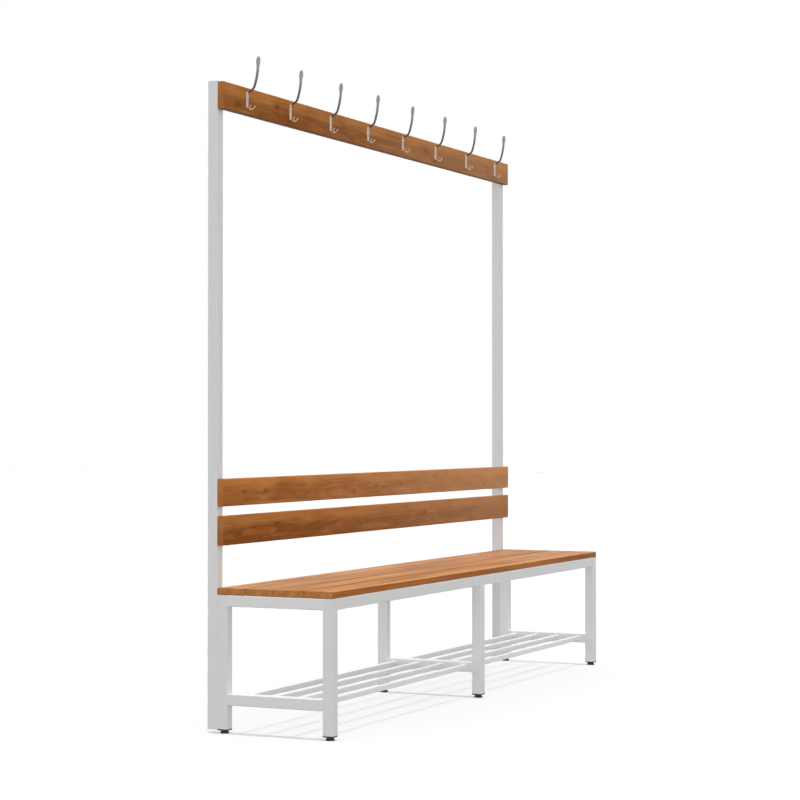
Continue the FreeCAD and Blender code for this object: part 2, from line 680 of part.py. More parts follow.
def add_prong(body, name, swing):
    """One lower prong, swung to its side, with a rounded tip."""
    plane = Placement(Vector(0, 0, 0), Rotation(ABOUT_Y, swing))
    spine = new_sketch(body, "YZ_Plane", f"{name}_prong_line", plane)
    prong = Route(spine, "Sizes.strap_thickness / 2",
                  "Sizes.prong_root_rise - Sizes.strap_height / 2", "-Sizes.prong_drop_angle")
    prong.run("Sizes.prong_root_run")
    prong.bend("Sizes.prong_bend_radius", "Sizes.prong_bend_turn")
    prong.run("Sizes.prong_tip_run")
    make_rod(body, f"{name}_prong", prong, "Sizes.prong_radius", swing)
    tip = body.newObject("PartDesign::AdditiveSphere", f"{name}_prong_tip")
    tip.setExpression("Radius", "Sizes.prong_tip_radius")
    side = math.radians(swing)
    ahead = prong.spot.x
    tip.Placement = Placement(Vector(-ahead * math.sin(side), ahead * math.cos(side), prong.spot.y),
                              Rotation())


def bore_strap(body, label):
    """Two countersunk screw holes through the strap."""
    shank = "Sizes.hook_screw_radius + Sizes.pilot_clearance"
    head = "Sizes.hook_screw_head_radius + Sizes.pilot_clearance"
    rise = "Sizes.hook_screw_spacing / 2"
    for side, up in (("low", f"-({rise})"), ("high", rise)):
        profile = new_sketch(body, "YZ_Plane", f"{label}_{side}_hole")
        draw_polygon(profile, (
            ("-Sizes.overrun", up),
            ("Sizes.strap_thickness + Sizes.overrun", up),
            ("Sizes.strap_thickness + Sizes.overrun", f"{up} + {head}"),
            ("Sizes.strap_thickness", f"{up} + {head}"),
            (f"Sizes.strap_thickness - ({head}) + ({shank})", f"{up} + {shank}"),
            ("-Sizes.overrun", f"{up} + {shank}"),
        ))
        groove = body.newObject("PartDesign::Groove", f"{label}_{side}_countersink")
        groove.Profile = profile
        groove.ReferenceAxis = (profile, ["Edge1"])
        groove.Angle = FULL_TURN


def make_coat_hooks():
    """Row of hooks on the front of the hook board."""
    for step, across in enumerate(hook_x, start=1):
        make_coat_hook(f"coat_hook_{step}", Vector(across, board_y, strap_mid_z))


# Fasteners

def turn_profile(corners):
    """Solid turned about Z from corners given as radius and height."""
    spots = [Vector(radius, 0, height) for radius, height in corners]
    face = Part.Face(Part.makePolygon(spots + spots[:1]))
    return face.revolve(Vector(0, 0, 0), ABOUT_Z, FULL_TURN)


def hexagon(corner_radius, height, low):
    """Hexagonal prism that stands on a level."""
    spots = []
    for step in range(HEX_SIDES + 1):
        angle = 2 * math.pi * step / HEX_SIDES
        spots.append(Vector(corner_radius * math.cos(angle), corner_radius * math.sin(angle), low))
    return Part.Face(Part.makePolygon(spots)).extrude(Vector(0, 0, height))


def cross_recess(screw, head_radius, top, depth):
    """Cut a cross into the top of a head."""
    reach = head_radius * mm.recess_share
    wide = mm.recess_width
    corner = Vector(-reach, -wide / 2, top - depth)
    slot = Part.makeBox(2 * reach, wide, depth + mm.overrun, corner)
    other = slot.copy()
    other.rotate(Vector(0, 0, 0), ABOUT_Z, FULL_TURN / 4)
    return screw.cut(slot.fuse(other))


def wood_screw(length):
    """Pan-head wood screw, its head's underside at the origin and its point down."""
    crown = mm.screw_head_crown
    screw = turn_profile((
        (0, -length),
        (mm.screw_radius, mm.screw_point - length),
        (mm.screw_radius, 0),
        (mm.screw_head_radius, 0),
        (mm.screw_head_radius, mm.screw_head_height - crown),
        (mm.screw_head_radius - crown, mm.screw_head_height),
        (0, mm.screw_head_height),
    ))
    depth = mm.screw_head_height * mm.recess_share
    return cross_recess(screw, mm.screw_head_radius - crown, mm.screw_head_height, depth)


def hook_screw():
    """Countersunk screw, its flush top at the origin and its point down."""
    cone = mm.hook_screw_head_radius - mm.hook_screw_radius
    screw = turn_profile((
        (0, -mm.hook_screw_length),
        (mm.hook_screw_radius, mm.hook_screw_point - mm.hook_screw_length),
        (mm.hook_screw_radius, -cone),
        (mm.hook_screw_head_radius, 0),
        (0, 0),
    ))
    return cross_recess(screw, mm.hook_screw_head_radius, 0, cone * mm.recess_share)


def post_bolt():
    """Button-head bolt, its head's underside at the origin and its end down."""
    reach = mm.tube + mm.tube_wall + mm.nut_height + mm.bolt_end
    bolt = turn_profile((
        (0, -reach),
        (mm.bolt_radius, -reach),
        (mm.bolt_radius, 0),
        (mm.bolt_head_radius, 0),
        (mm.bolt_head_radius, mm.bolt_head_height / 4),
        (mm.bolt_crown_radius, mm.bolt_head_height),
        (0, mm.bolt_head_height),
    ))
    floor = mm.bolt_head_height - mm.bolt_socket_depth
    return bolt.cut(hexagon(mm.bolt_socket, mm.bolt_socket_depth + mm.overrun, floor))


def post_nut():
    """Hexagon nut that stands on the origin, bored to clear its bolt."""
    nut = hexagon(mm.nut_corner_radius, mm.nut_height, 0)
    bore = Part.makeCylinder(mm.bolt_radius + mm.thread_clearance, mm.nut_height + 2 * mm.overrun,
                             Vector(0, 0, -mm.overrun))
    return nut.cut(bore)


def add_group(label, solid, places, rotation):
    """One node of identical fasteners, each a separate solid."""
    copies = []
    for place in places:
        copy = solid.copy()
        copy.Placement = Placement(place, rotation)
        copies.append(copy)
    group = doc.addObject("Part::Feature", label)
    group.Label = label
    group.Shape = Part.makeCompound(copies)
    group.Placement = Placement()
    pieces.append(group)


def make_fasteners():
    """Screws, bolts and nuts at the places that their holes have."""
    head_down = Rotation(ABOUT_X, HALF_TURN)
    head_back = Rotation(ABOUT_Z, ABOUT_Y)
    head_front = Rotation(ABOUT_Z, Vector(0, -1, 0))
    under = seat_frame_z - mm.tube_wall
    slat_places = []
    for frame in FRAMES:
        for slat in range(SLATS):
            across = front_y + number(slat_middle(slat))
            slat_places.append(Vector(frame_x[frame] + mm.tube / 2, across, under))
    add_group("seat_slat_screws", wood_screw(mm.slat_screw_length), slat_places, head_down)
    board_places = []
    for end in ENDS:
        for low, height in BOARDS.values():
            for side in (-1, 1):
                rise = number(f"{low} + {height} / 2") + side * mm.board_screw_spacing / 2
                board_places.append(Vector(post_mid_x[end], rear_y + mm.tube, frame_z + rise))
    add_group("board_screws", wood_screw(mm.board_screw_length), board_places, head_back)
    hook_places = []
    for across in hook_x:
        for side in (-1, 1):
            up = strap_mid_z + side * mm.hook_screw_spacing / 2
            hook_places.append(Vector(across, board_y - mm.strap_thickness, up))
    add_group("hook_screws", hook_screw(), hook_places, head_front)
    bolt_places = [Vector(post_mid_x[end], rear_y + mm.tube, up) for end in ENDS for up in bolt_z]
    add_group("post_bolts", post_bolt(), bolt_places, head_back)
    inner_wall = Vector(0, mm.tube + mm.tube_wall, 0)
    nut_places = [place - inner_wall for place in bolt_places]
    add_group("post_nuts", post_nut(), nut_places, head_front)


# Checks and export

def check_and_export():
    """Stop on any failed object, then write one STEP file a piece."""
    doc.recompute()
    for item in doc.Objects:
        if "Invalid" in item.State or "Error" in item.State:
            raise RuntimeError(f"{item.Label} failed: {item.State}")
    for piece in pieces:
        shape = piece.Shape
        if shape.isNull() or not shape.isValid() or not shape.Solids:
            raise RuntimeError(f"{piece.Label} has no valid solid")
        if piece.TypeId == "PartDesign::Body" and len(shape.Solids) != 1:
            raise RuntimeError(f"{piece.Label} is in {len(shape.Solids)} solids")
    os.makedirs("parts", exist_ok=True)
    for piece in pieces:
        piece.Shape.exportStep(f"parts/{piece.Label}.step")
    print(len(pieces), "pieces written")


make_legs()
make_cross_rails()
make_long_rails()
make_posts()
make_shelf_bars()
make_slats()
make_boards()
make_post_caps()
make_feet()
make_coat_hooks()
make_fasteners()
check_and_export()
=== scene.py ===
"""Looks of a changing room bench: finishes, weld seams, cast coat hooks and threaded feet.

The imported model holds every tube, board and fastener in metres, +Z up, front towards -Y.
This script dresses those parts, models the pieces whose finish asks for more than their
plain solids, and stands the bench on a pale floor in soft studio light.
"""

from __future__ import annotations

import json
import logging
import math
from collections.abc import Callable, Iterable, Mapping, Sequence
from dataclasses import dataclass, replace
from enum import Enum
from functools import reduce
from operator import add
from typing import NamedTuple

import bmesh
import bpy
from mathutils import Matrix, Vector

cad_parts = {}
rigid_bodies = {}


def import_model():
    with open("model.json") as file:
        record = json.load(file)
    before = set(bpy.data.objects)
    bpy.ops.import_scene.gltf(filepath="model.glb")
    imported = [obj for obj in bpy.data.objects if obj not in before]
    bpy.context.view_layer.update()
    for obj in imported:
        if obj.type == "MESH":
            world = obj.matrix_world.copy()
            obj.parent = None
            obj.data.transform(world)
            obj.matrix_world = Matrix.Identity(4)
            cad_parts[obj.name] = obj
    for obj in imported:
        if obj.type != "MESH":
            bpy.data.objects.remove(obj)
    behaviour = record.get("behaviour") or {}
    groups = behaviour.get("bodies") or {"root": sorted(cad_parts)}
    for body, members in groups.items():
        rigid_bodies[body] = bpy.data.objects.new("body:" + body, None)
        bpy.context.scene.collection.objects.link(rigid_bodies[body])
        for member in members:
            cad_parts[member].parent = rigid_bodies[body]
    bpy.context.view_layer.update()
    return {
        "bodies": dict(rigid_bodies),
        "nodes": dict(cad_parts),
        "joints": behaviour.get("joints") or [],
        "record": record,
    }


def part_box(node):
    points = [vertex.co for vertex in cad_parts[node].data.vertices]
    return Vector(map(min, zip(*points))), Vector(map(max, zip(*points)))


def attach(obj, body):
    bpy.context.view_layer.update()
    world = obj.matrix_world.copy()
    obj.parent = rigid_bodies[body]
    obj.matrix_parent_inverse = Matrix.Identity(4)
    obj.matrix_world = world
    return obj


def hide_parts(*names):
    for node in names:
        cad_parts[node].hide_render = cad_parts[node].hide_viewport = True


LOG = logging.getLogger("bench")
ROOT = "root"
MM = 0.001
FRAMES = ("left", "middle", "right")
ENDS = ("left", "right")
ROWS = ("front", "rear")
BARS = 4
HOOKS = 8

Colour = tuple[float, float, float]
Pair = tuple[float, float]
Span = Pair
Form = bmesh.types.BMesh
Material = bpy.types.Material
Thing = bpy.types.Object
Nodes = Mapping[str, Thing]


class Slot(Enum):
    """Names of the record's material slots for steel, hook metal and black plastic."""

    FRAME = "steel_frame"
    HOOK = "hook_metal"
    BLACK = "black_plastic"


class Axis(Enum):
    """The three directions of the model."""

    X = 0
    Y = 1
    Z = 2

    @property
    def others(self) -> tuple[int, int]:
        """The indices of the two directions across this one."""
        return (self.value + 1) % 3, (self.value + 2) % 3


# Shader trees


def arithmetic(operation: str, flipped: bool = False) -> Callable[[Wire, Amount], Wire]:
    """Make an operator of Wire.

    Args:
        operation: The operation of its Math node.
        flipped: Whether the other value comes first.

    Returns:
        The method for the class.
    """
    def method(wire: Wire, other: Amount) -> Wire:
        """Result of the operation on two values."""
        return wire.tree.math(operation, *((other, wire) if flipped else (wire, other)))

    return method


class Wire:
    """An output socket of a shader tree, with arithmetic written as Python."""

    def __init__(self, tree: Tree, socket: bpy.types.NodeSocket) -> None:
        """Keep the socket together with the tree that it belongs to."""
        self.tree = tree
        self.socket = socket

    __add__, __radd__ = arithmetic("ADD"), arithmetic("ADD", True)
    __sub__, __rsub__ = arithmetic("SUBTRACT"), arithmetic("SUBTRACT", True)
    __mul__, __rmul__ = arithmetic("MULTIPLY"), arithmetic("MULTIPLY", True)
    __truediv__ = arithmetic("DIVIDE")


Amount = Wire | float


class Tree:
    """A shader node tree, and short names for the nodes that the finishes share."""

    def __init__(self, owner: Material | bpy.types.World) -> None:
        """Clear the owner's node tree for a new one.

        Args:
            owner: The material or world whose nodes are made.
        """
        owner.use_nodes = True
        self.nodes = owner.node_tree.nodes
        self.links = owner.node_tree.links
        self.nodes.clear()

    def node(self, kind: str, inputs: Mapping[str | int, object] | None = None,
             settings: Mapping[str, object] | None = None, output: str | int = 0) -> Wire:
        """Add one node.

        Args:
            kind: The node's type, without its ShaderNode prefix.
            inputs: A value or a wire for each socket, by name or number.
            settings: Properties, which are set first.
            output: The socket that the wire leaves by.

        Returns:
            The wire from that output.
        """
        node = self.nodes.new(f"ShaderNode{kind}")
        for name, value in (settings or {}).items():
            setattr(node, name, value)
        for key, value in (inputs or {}).items():
            socket = self._find(node.inputs, key)
            if isinstance(value, Wire):
                self.links.new(value.socket, socket)
            else:
                socket.default_value = value
        return Wire(self, self._find(node.outputs, output))

    @staticmethod
    def _find(sockets: Iterable[bpy.types.NodeSocket], key: str | int) -> bpy.types.NodeSocket:
        """Pick the socket in use that has a name, or the one at a number."""
        live = [socket for socket in sockets if not socket.is_unavailable]
        if isinstance(key, int):
            return live[key]
        return next(socket for socket in live if socket.name == key)

    def math(self, operation: str, *values: Amount) -> Wire:
        """Result of a Math node on one to three values."""
        return self.node("Math", dict(enumerate(values)), {"operation": operation})

    def rise(self, value: Wire, span: Span) -> Wire:
        """Smooth step from 0 at the span's start to 1 at its end."""
        low, high = span
        values = {"Value": value, "From Min": low, "From Max": high}
        return self.node("MapRange", values, {"interpolation_type": "SMOOTHSTEP"})

    def fall(self, value: Wire, span: Span) -> Wire:
        """Smooth step from 1 at the span's start to 0 at its end."""
        return 1.0 - self.rise(value, span)

    def blend(self, factor: Amount, first: object, second: object, how: str = "MIX") -> Wire:
        """Mix of two colours, by a factor and a blending mode."""
        pair = {"Factor": factor, "A": self._colour(first), "B": self._colour(second)}
        return self.node("Mix", pair, {"data_type": "RGBA", "blend_type": how})

    @staticmethod
    def _colour(value: object) -> object:
        """A colour with its alpha, or the wire as it is."""
        return value if isinstance(value, Wire) else (*value, 1.0)

    def tint(self, colour: object, tint: object) -> Wire:
        """Product of two colours."""
        return self.blend(1.0, colour, tint, "MULTIPLY")

    def shade(self, colour: object, factor: Wire) -> Wire:
        """A colour made lighter or darker by a factor."""
        return self.tint(colour, self.node("CombineColor", dict(enumerate([factor] * 3))))

    def place(self) -> Wire:
        """Position on the piece, in metres."""
        return self.node("TexCoord", output="Object")

    def parts(self, vector: Wire) -> list[Wire]:
        """The three parts of a vector."""
        split = self.node("SeparateXYZ", {"Vector": vector})
        return [Wire(self, socket) for socket in split.socket.node.outputs]

    def vector(self, *parts: Amount) -> Wire:
        """A vector from three parts."""
        return self.node("CombineXYZ", dict(enumerate(parts)))

    def noise(self, place: Wire, scale: float, detail: float = 2.0, rough: float = 0.5) -> Wire:
        """Fractal noise about 0.5 at a place."""
        values = {"Vector": place, "Scale": scale, "Detail": detail, "Roughness": rough}
        return self.node("TexNoise", values)

    def layer(self, place: Wire, layer: Layer) -> Wire:
        """Noise about 0 of a coating's layer."""
        return self.noise(place, layer.scale, layer.detail, layer.rough) - 0.5

    def bump(self, height: Wire, depth: float) -> Wire:
        """Normal from a height of 0 to 1 over a real depth in metres."""
        return self.node("Bump", {"Height": height, "Distance": depth}, output="Normal")

    def finish(self, inputs: Mapping[str, object]) -> None:
        """End the tree in a Principled surface with these inputs."""
        self.node_out(self.node("BsdfPrincipled", inputs))

    def node_out(self, surface: Wire, kind: str = "OutputMaterial") -> None:
        """Link a shader to the tree's output."""
        output = self.nodes.new(f"ShaderNode{kind}")
        self.links.new(surface.socket, output.inputs["Surface"])


# Finishes


@dataclass(frozen=True)
class Finish:
    """A surface finish, made into a material once."""

    name: str

    def build(self) -> Material:
        """Make the material.

        Returns:
            The material with its node tree.
        """
        material = bpy.data.materials.new(self.name)
        self.grow(Tree(material))
        return material

    def grow(self, tree: Tree) -> None:
        """Fill the node tree; each finish has its own."""
        raise NotImplementedError


class Share(NamedTuple):
    """How much of a noise goes into the tone, the roughness and the bump's height."""

    tone: float = 0.0
    gloss: float = 0.0
    height: float = 0.0


def add_up(parts: Sequence[tuple[Wire, Share]]) -> list[Wire]:
    """Add up noises by their shares.

    Args:
        parts: Each noise, centred on 0, with its share.

    Returns:
        The sums for the tone, the roughness and the bump's height.
    """
    noises, shares = zip(*parts)
    return [reduce(add, [noise * part for noise, part in zip(noises, column) if part])
            for column in zip(*shares)]


@dataclass(frozen=True)
class Layer:
    """Noise in a coating: its shares, features in a metre, octaves and their strength."""

    share: Share
    scale: float
    detail: float = 2.0
    rough: float = 0.5


@dataclass(frozen=True)
class Coating(Finish):
    """One colour varied by layers of noise, with blotches where the first layer is high."""

    colour: Colour
    roughness: float
    relief: float
    layers: tuple[Layer, ...]
    metallic: float = 0.0
    blotch: Colour | None = None
    blotch_edge: Span = (-0.05, 0.25)

    def grow(self, tree: Tree) -> None:
        """Feed the sums of the layers to colour, roughness and bump."""
        place = tree.place()
        parts = [(tree.layer(place, layer), layer.share) for layer in self.layers]
        tone, gloss, height = add_up(parts)
        colour = self.colour
        if self.blotch:
            colour = tree.blend(tree.rise(parts[0][0], self.blotch_edge), colour, self.blotch)
        tree.finish({
            "Base Color": tree.shade(colour, 1.0 + tone),
            "Metallic": self.metallic,
            "Roughness": self.roughness + gloss,
            "Normal": tree.bump(height, self.relief),
        })


# Satin coat with faint clouds, fine grains and an orange peel.
POWDER_COAT = Coating("powder_coat", (0.538, 0.539, 0.540), 0.46, 0.012 * MM, (
    Layer(Share(0.05, 0.12), 9.0, 3.0),
    Layer(Share(0.02, 0.08, 0.2), 1 / (0.5 * MM)),
    Layer(Share(height=0.8), 1 / (2.6 * MM), 1.5, 0.45),
))
# Wear, and a fine spark texture.
MOULD_LAYERS = (
    Layer(Share(0.3, 0.25), 70.0, 4.0, 0.6),
    Layer(Share(height=1.0), 1 / (0.35 * MM)),
)
BLACK_MOULDING = Coating("black_moulding", (0.009, 0.009, 0.0095), 0.48, 0.02 * MM, MOULD_LAYERS)
GREY_MOULDING = Coating("grey_moulding", (0.55, 0.55, 0.55), 0.42, 0.02 * MM, MOULD_LAYERS)
# Plating blotches with a faint yellow cast, and turning marks.
ZINC_LAYERS = (
    Layer(Share(1 / 3, 0.3), 420.0, 4.0, 0.6),
    Layer(Share(height=1.0), 1 / (0.25 * MM), 1.0),
)
ZINC_PLATE = Coating("zinc_plate", (0.540, 0.540, 0.549), 0.30, 0.01 * MM, ZINC_LAYERS,
                     metallic=1.0, blotch=(0.504, 0.486, 0.423))


@dataclass(frozen=True)
class Knot:
    """A mark in a plank, placed in mm from the plank's left end and middle.

    Args:
        along: Distance from the left end.
        across: Distance above the middle.
        radius: Half of its height.
        stretch: Its length over its height.
        core: Darkness of its heart, which a burl lacks.
        rim: Darkness of a ring around it.
    """

    along: float
    across: float
    radius: float
    stretch: float
    core: float
    rim: float = 0.0


@dataclass(frozen=True)
class Grain:
    """Noise drawn out along a plank, in mm: sizes, its own shift, octaves and swing."""

    length: float
    width: float
    shift: float
    detail: float = 2.0
    reach: float = 1.0


@dataclass(frozen=True)
class StainedPine(Finish):
    """Stained and varnished pine, with rings about a wandering pith, in mm."""

    seed: float = 0.0
    seed_step: float = 3100.0
    corner: tuple[float, float, float] = (0.0, 0.0, 0.0)
    upright: bool = False

    # Colours, painted shade on the sides and undersides by the way that a face turns, and the sawn ends'
    # colour.
    light: Colour = (0.366, 0.136, 0.027)
    dark: Colour = (0.180, 0.052, 0.001)
    red: Colour = (0.260, 0.066, 0.004)
    pale: Colour = (0.430, 0.232, 0.112)
    heart: Colour = (0.085, 0.022, 0.004)
    # Painted shade on the sides of the slats and in the grooves between them.
    side_shade_tint: Colour = (1.0, 1.0, 1.0)
    side_turn: Span = (0.15, 0.80)
    # Painted shade on the undersides.
    underside_shade_tint: Colour = (1.0, 1.0, 1.0)
    underside_shade_turn: Span = (0.50, 0.97)
    end_grain: Colour = (0.310, 0.125, 0.050)
    end_turn: Span = (0.6, 0.95)
    end_depth: float = 0.55

    # Growth rings about the pith, and the late wood in each.
    pith_across: float = 0.0
    pith_deep: float = 44.0
    sway: Grain = Grain(900.0, 400.0, 71.0, reach=30.0)
    lean: Grain = Grain(700.0, 400.0, 913.0, reach=32.0)
    ripple: Grain = Grain(260.0, 26.0, 407.0, 3.0, 9.0)
    ring_width: float = 6.5
    late_start: Span = (0.25, 0.88)
    late_end: Span = (0.90, 1.0)
    late_mean: float = 0.3
    ring_stain: float = 0.08
    ring_chance: float = 0.18

    # Where the stain took more or less, and painted shade along the joints and towards the bottom.
    mean_stain: float = 0.50
    patches: Grain = Grain(120.0, 24.0, 1511.0, 3.0, 1.7)
    streaks: Grain = Grain(330.0, 5.5, 29.0, 3.0)
    streakiness: float = 1.0
    blush: Grain = Grain(120.0, 24.0, 2203.0)
    blush_edge: Span = (0.0, 0.20)
    blush_depth: float = 0.35
    sapwood: float = 0.0
    sap_wander: Grain = Grain(240.0, 90.0, 3301.0, 3.0, 40.0)
    sap_edge: Span = (-6.0, 34.0)
    sap_mean: float = 0.36
    pale_run: Span = (200.0, 2200.0)
    pale_ends: Span = (0.0, 0.40)
    # Painted shade on the top faces along the joints between slats.
    joint_edge: Span = (30.0, 43.0)
    joint_shade: Span = (0.0, 0.0)
    # Painted shade towards the bottom of each plank.
    foot_edge: Span = (4.0, 9.5)
    foot_shade: float = 0.0
    brightness: float = 1.0

    # Fibres, pores and varnish.
    fibres: Grain = Grain(34.0, 0.7, 3.0)
    pores: Grain = Grain(14.0, 0.8, 617.0, 1.0)
    pore_edge: Span = (0.16, 0.26)
    pore_tone: float = 0.10
    fibre_share: Share = Share(0.30, 0.2, 0.8)
    streak_share: Share = Share(0.10)
    late_share: Share = Share(0.0, 0.05, -0.2)
    pore_share: Share = Share(0.0, 0.0, -0.5)
    core_share: Share = Share(0.0, -0.1, 0.3)
    roughness: float = 0.47
    shine: float = 0.06
    relief: float = 0.06 * MM

    # Knots; their edges are in radii.
    knots: tuple[Knot, ...] = ()
    knot_scale: float = 1.4
    wobble_size: float = 7.0
    wobble_reach: float = 0.7
    halo_edge: Span = (0.4, 2.4)
    halo_stain: float = 0.09
    halo_core_stain: float = 0.30
    rim_edge: Span = (0.05, 0.40)
    core_edge: Span = (0.2, 1.1)
    core_depth: float = 0.65
    push_edge: Span = (0.3, 3.4)
    push_depth: float = 0.8

    def grow(self, tree: Tree) -> None:
        """Rings, knots, fibres and varnish, all from the place in the plank in mm."""
        along, across, deep = self._grid(tree)
        halo, core, push = self._knots(tree, along, across)

        def read(grain: Grain) -> Wire:
            """Noise about 0 with a grain's sizes and reach."""
            place = tree.vector(
                (along + (self.seed * self.seed_step + grain.shift)) / grain.length,
                (across + grain.shift) / grain.width,
                (deep + grain.shift) / grain.width,
            )
            return (tree.noise(place, 1.0, grain.detail) - 0.5) * grain.reach

        sideways = across - self.pith_across + read(self.sway)
        inward = deep + self.pith_deep + read(self.lean)
        radius = tree.math("SQRT", sideways * sideways + inward * inward)
        rings = (radius + read(self.ripple) + push) / self.ring_width
        number = tree.math("FLOOR", rings) + self.seed
        chance = tree.node("TexWhiteNoise", {"W": number}, {"noise_dimensions": "1D"})
        band = tree.math("FRACT", rings)
        late = tree.rise(band, self.late_start) * tree.fall(band, self.late_end)

        streaks, fibres = read(self.streaks), read(self.fibres)
        blush = tree.rise(read(self.blush), self.blush_edge)
        pores = tree.rise(read(self.pores), self.pore_edge)
        sap = (tree.rise(across + read(self.sap_wander), self.sap_edge) - self.sap_mean) * self.sapwood

        depth = self.ring_stain + chance * self.ring_chance
        stain = self.mean_stain + (late - self.late_mean) * depth + read(self.patches)
        stain = stain + streaks * self.streakiness - sap + halo
        stain = tree.math("MINIMUM", tree.math("MAXIMUM", stain, 0.0), 1.0)
        colour = tree.blend(stain, self.light, self.dark)
        colour = tree.blend(blush * self.blush_depth, colour, self.red)
        near, far = self.pale_ends
        colour = tree.blend(near + tree.rise(along, self.pale_run) * (far - near), colour, self.pale)
        colour = tree.blend(core, colour, self.heart)

        tone, gloss, height = add_up([
            (fibres, self.fibre_share), (streaks, self.streak_share), (late, self.late_share),
            (pores, self.pore_share), (core, self.core_share),
        ])
        # Painted shade towards the bottom of the plank.
        foot = tree.rise(0.0 - deep, self.foot_edge) * self.foot_shade
        shade = (self.brightness * (1.0 + tone) - pores * self.pore_tone) * (1.0 - foot)
        tree.finish({
            "Base Color": self._cut_faces(tree, tree.shade(colour, shade), across),
            "Roughness": self.roughness + gloss,
            "Specular IOR Level": self.shine,
            "Normal": tree.bump(height, self.relief),
        })

    def _grid(self, tree: Tree) -> list[Wire]:
        """Place along, across and into the plank, in mm."""
        x, y, z = tree.parts(tree.place())
        across, deep = (z, y) if self.upright else (y, z)
        return [(part - start) / MM for part, start in zip((x, across, deep), self.corner)]

    def _knots(self, tree: Tree, along: Wire, across: Wire) -> tuple[Wire, Wire, Wire]:
        """Darkening, heart and ring shift of all knots together."""
        place = tree.vector(along / self.wobble_size, across / self.wobble_size, 0.0)
        wobble = (tree.noise(place, 1.0) - 0.5) * self.wobble_reach
        halo = core = push = wobble * 0.0
        for knot in self.knots:
            size = knot.radius * self.knot_scale
            aside = (along - knot.along) / (size * knot.stretch)
            above = (across - knot.across) / size
            away = tree.math("SQRT", aside * aside + above * above) + wobble
            stain = self.halo_stain + self.halo_core_stain * knot.core
            halo = halo + tree.fall(away, self.halo_edge) * stain
            if knot.rim:
                ring = tree.math("ABSOLUTE", away - 1.0)
                halo = halo + tree.fall(ring, self.rim_edge) * knot.rim
            if knot.core:
                core = tree.math("MAXIMUM", core, tree.fall(away, self.core_edge) * knot.core)
            push = push + tree.fall(away, self.push_edge) * (knot.radius * self.push_depth)
        return halo, core * self.core_depth, push

    def _cut_faces(self, tree: Tree, colour: Wire, across: Wire) -> Wire:
        """Painted shade on the sides, along the joints and on the undersides, and greyer sawn ends."""
        right, back, up = tree.parts(tree.node("TexCoord", output="Normal"))
        side = tree.fall(tree.math("ABSOLUTE", back if self.upright else up), self.side_turn)
        # Painted shade on the top faces along the joints.
        for way, depth in zip((-1.0, 1.0), self.joint_shade):
            if depth:
                rim = tree.rise(across * way, self.joint_edge)
                colour = tree.shade(colour, 1.0 - rim * (1.0 - side) * depth)
        sawn = tree.rise(tree.math("ABSOLUTE", right), self.end_turn)
        # Painted shade on the sides, apart from the sawn ends.
        colour = tree.blend((1.0 - sawn) * side, colour, tree.tint(colour, self.side_shade_tint))
        # Painted shade on the undersides.
        below = tree.rise(0.0 - up, self.underside_shade_turn)
        colour = tree.blend(below, colour, tree.tint(colour, self.underside_shade_tint))
        return tree.blend(sawn * self.end_depth, colour, self.end_grain)


@dataclass(frozen=True)
class CastMetal(Finish):
    """Satin nickel on a cast hook: bright on the strap and prongs, with a painted dark reflection on the
    arm.

    The spans of the arm, of its painted reflection and of its painted highlight are in mm, ahead of the
    board or above the shoulder.
    """

    board_front: float
    shoulder: float
    bright: Colour = (0.72, 0.66, 0.61)
    # Painted shade on faces turned to the front.
    front_shade_tint: Colour = (0.56, 0.50, 0.44)
    front_shade_turn: Span = (0.35, 0.90)
    prong: Colour = (0.62, 0.41, 0.30)
    # Painted dark reflection along the arm, from the shoulder to the lighter knob end.
    shoulder_reflection: Colour = (0.080, 0.081, 0.083)
    knob_reflection: Colour = (0.305, 0.305, 0.302)
    reflection_rise: Span = (2.0, 88.0)
    arm_run: Span = (4.2, 7.5)
    arm_rise: Span = (-14.0, -6.0)
    # Painted highlight on the arm's faces turned up and to the left near the shoulder.
    highlight_turn: Span = (0.75, 1.05)
    highlight_lean: float = 0.6
    highlight_rise: Span = (4.0, 20.0)
    highlight_strength: float = 0.8
    strap_metallic: float = 0.35
    roughness: float = 0.34
    relief: float = 0.02 * MM
    marks: Layer = Layer(Share(0.3, 0.15, 0.3), 2600.0)
    mark_stretch: float = 5.2
    clouds: Layer = Layer(Share(0.3, 0.12, 0.7), 160.0, 3.0)

    def grow(self, tree: Tree) -> None:
        """Painted dark reflection on the arm, lighter towards the knob, with painted front shade and a
        painted highlight.
        """
        place = tree.place()
        x, y, z = tree.parts(place)
        right, back, up = tree.parts(tree.node("TexCoord", output="Normal"))
        above = (z - self.shoulder) / MM
        past = tree.rise((self.board_front - y) / MM, self.arm_run)
        arm = past * tree.rise(above, self.arm_rise)
        # Painted shade on faces turned to the front.
        face = tree.rise(0.0 - back, self.front_shade_turn)
        # Painted highlight on the arm's faces turned up and to the left near the shoulder.
        edge = tree.rise(up - right * self.highlight_lean, self.highlight_turn) * tree.fall(above, self.highlight_rise)

        # Painted dark reflection along the arm, lighter towards the knob.
        arm_reflection = tree.blend(tree.rise(above, self.reflection_rise), self.shoulder_reflection, self.knob_reflection)
        # Painted shade on faces turned to the front, then the prongs' colour.
        colour = tree.blend(face, self.bright, tree.tint(self.bright, self.front_shade_tint))
        colour = tree.blend(past, colour, self.prong)
        # The arm takes the painted reflection, with the painted highlight near the shoulder.
        colour = tree.blend(arm, colour, tree.blend(edge * self.highlight_strength, arm_reflection, self.bright))

        marks = tree.layer(tree.vector(x, y, z / self.mark_stretch), self.marks)
        clouds = tree.layer(place, self.clouds)
        tone, gloss, height = add_up([(marks, self.marks.share), (clouds, self.clouds.share)])
        tree.finish({
            "Base Color": tree.shade(colour, 1.0 + tone),
            "Metallic": self.strap_metallic + past * (1.0 - self.strap_metallic),
            "Roughness": self.roughness + gloss,
            "Normal": tree.bump(height, self.relief),
        })


# Mesh work


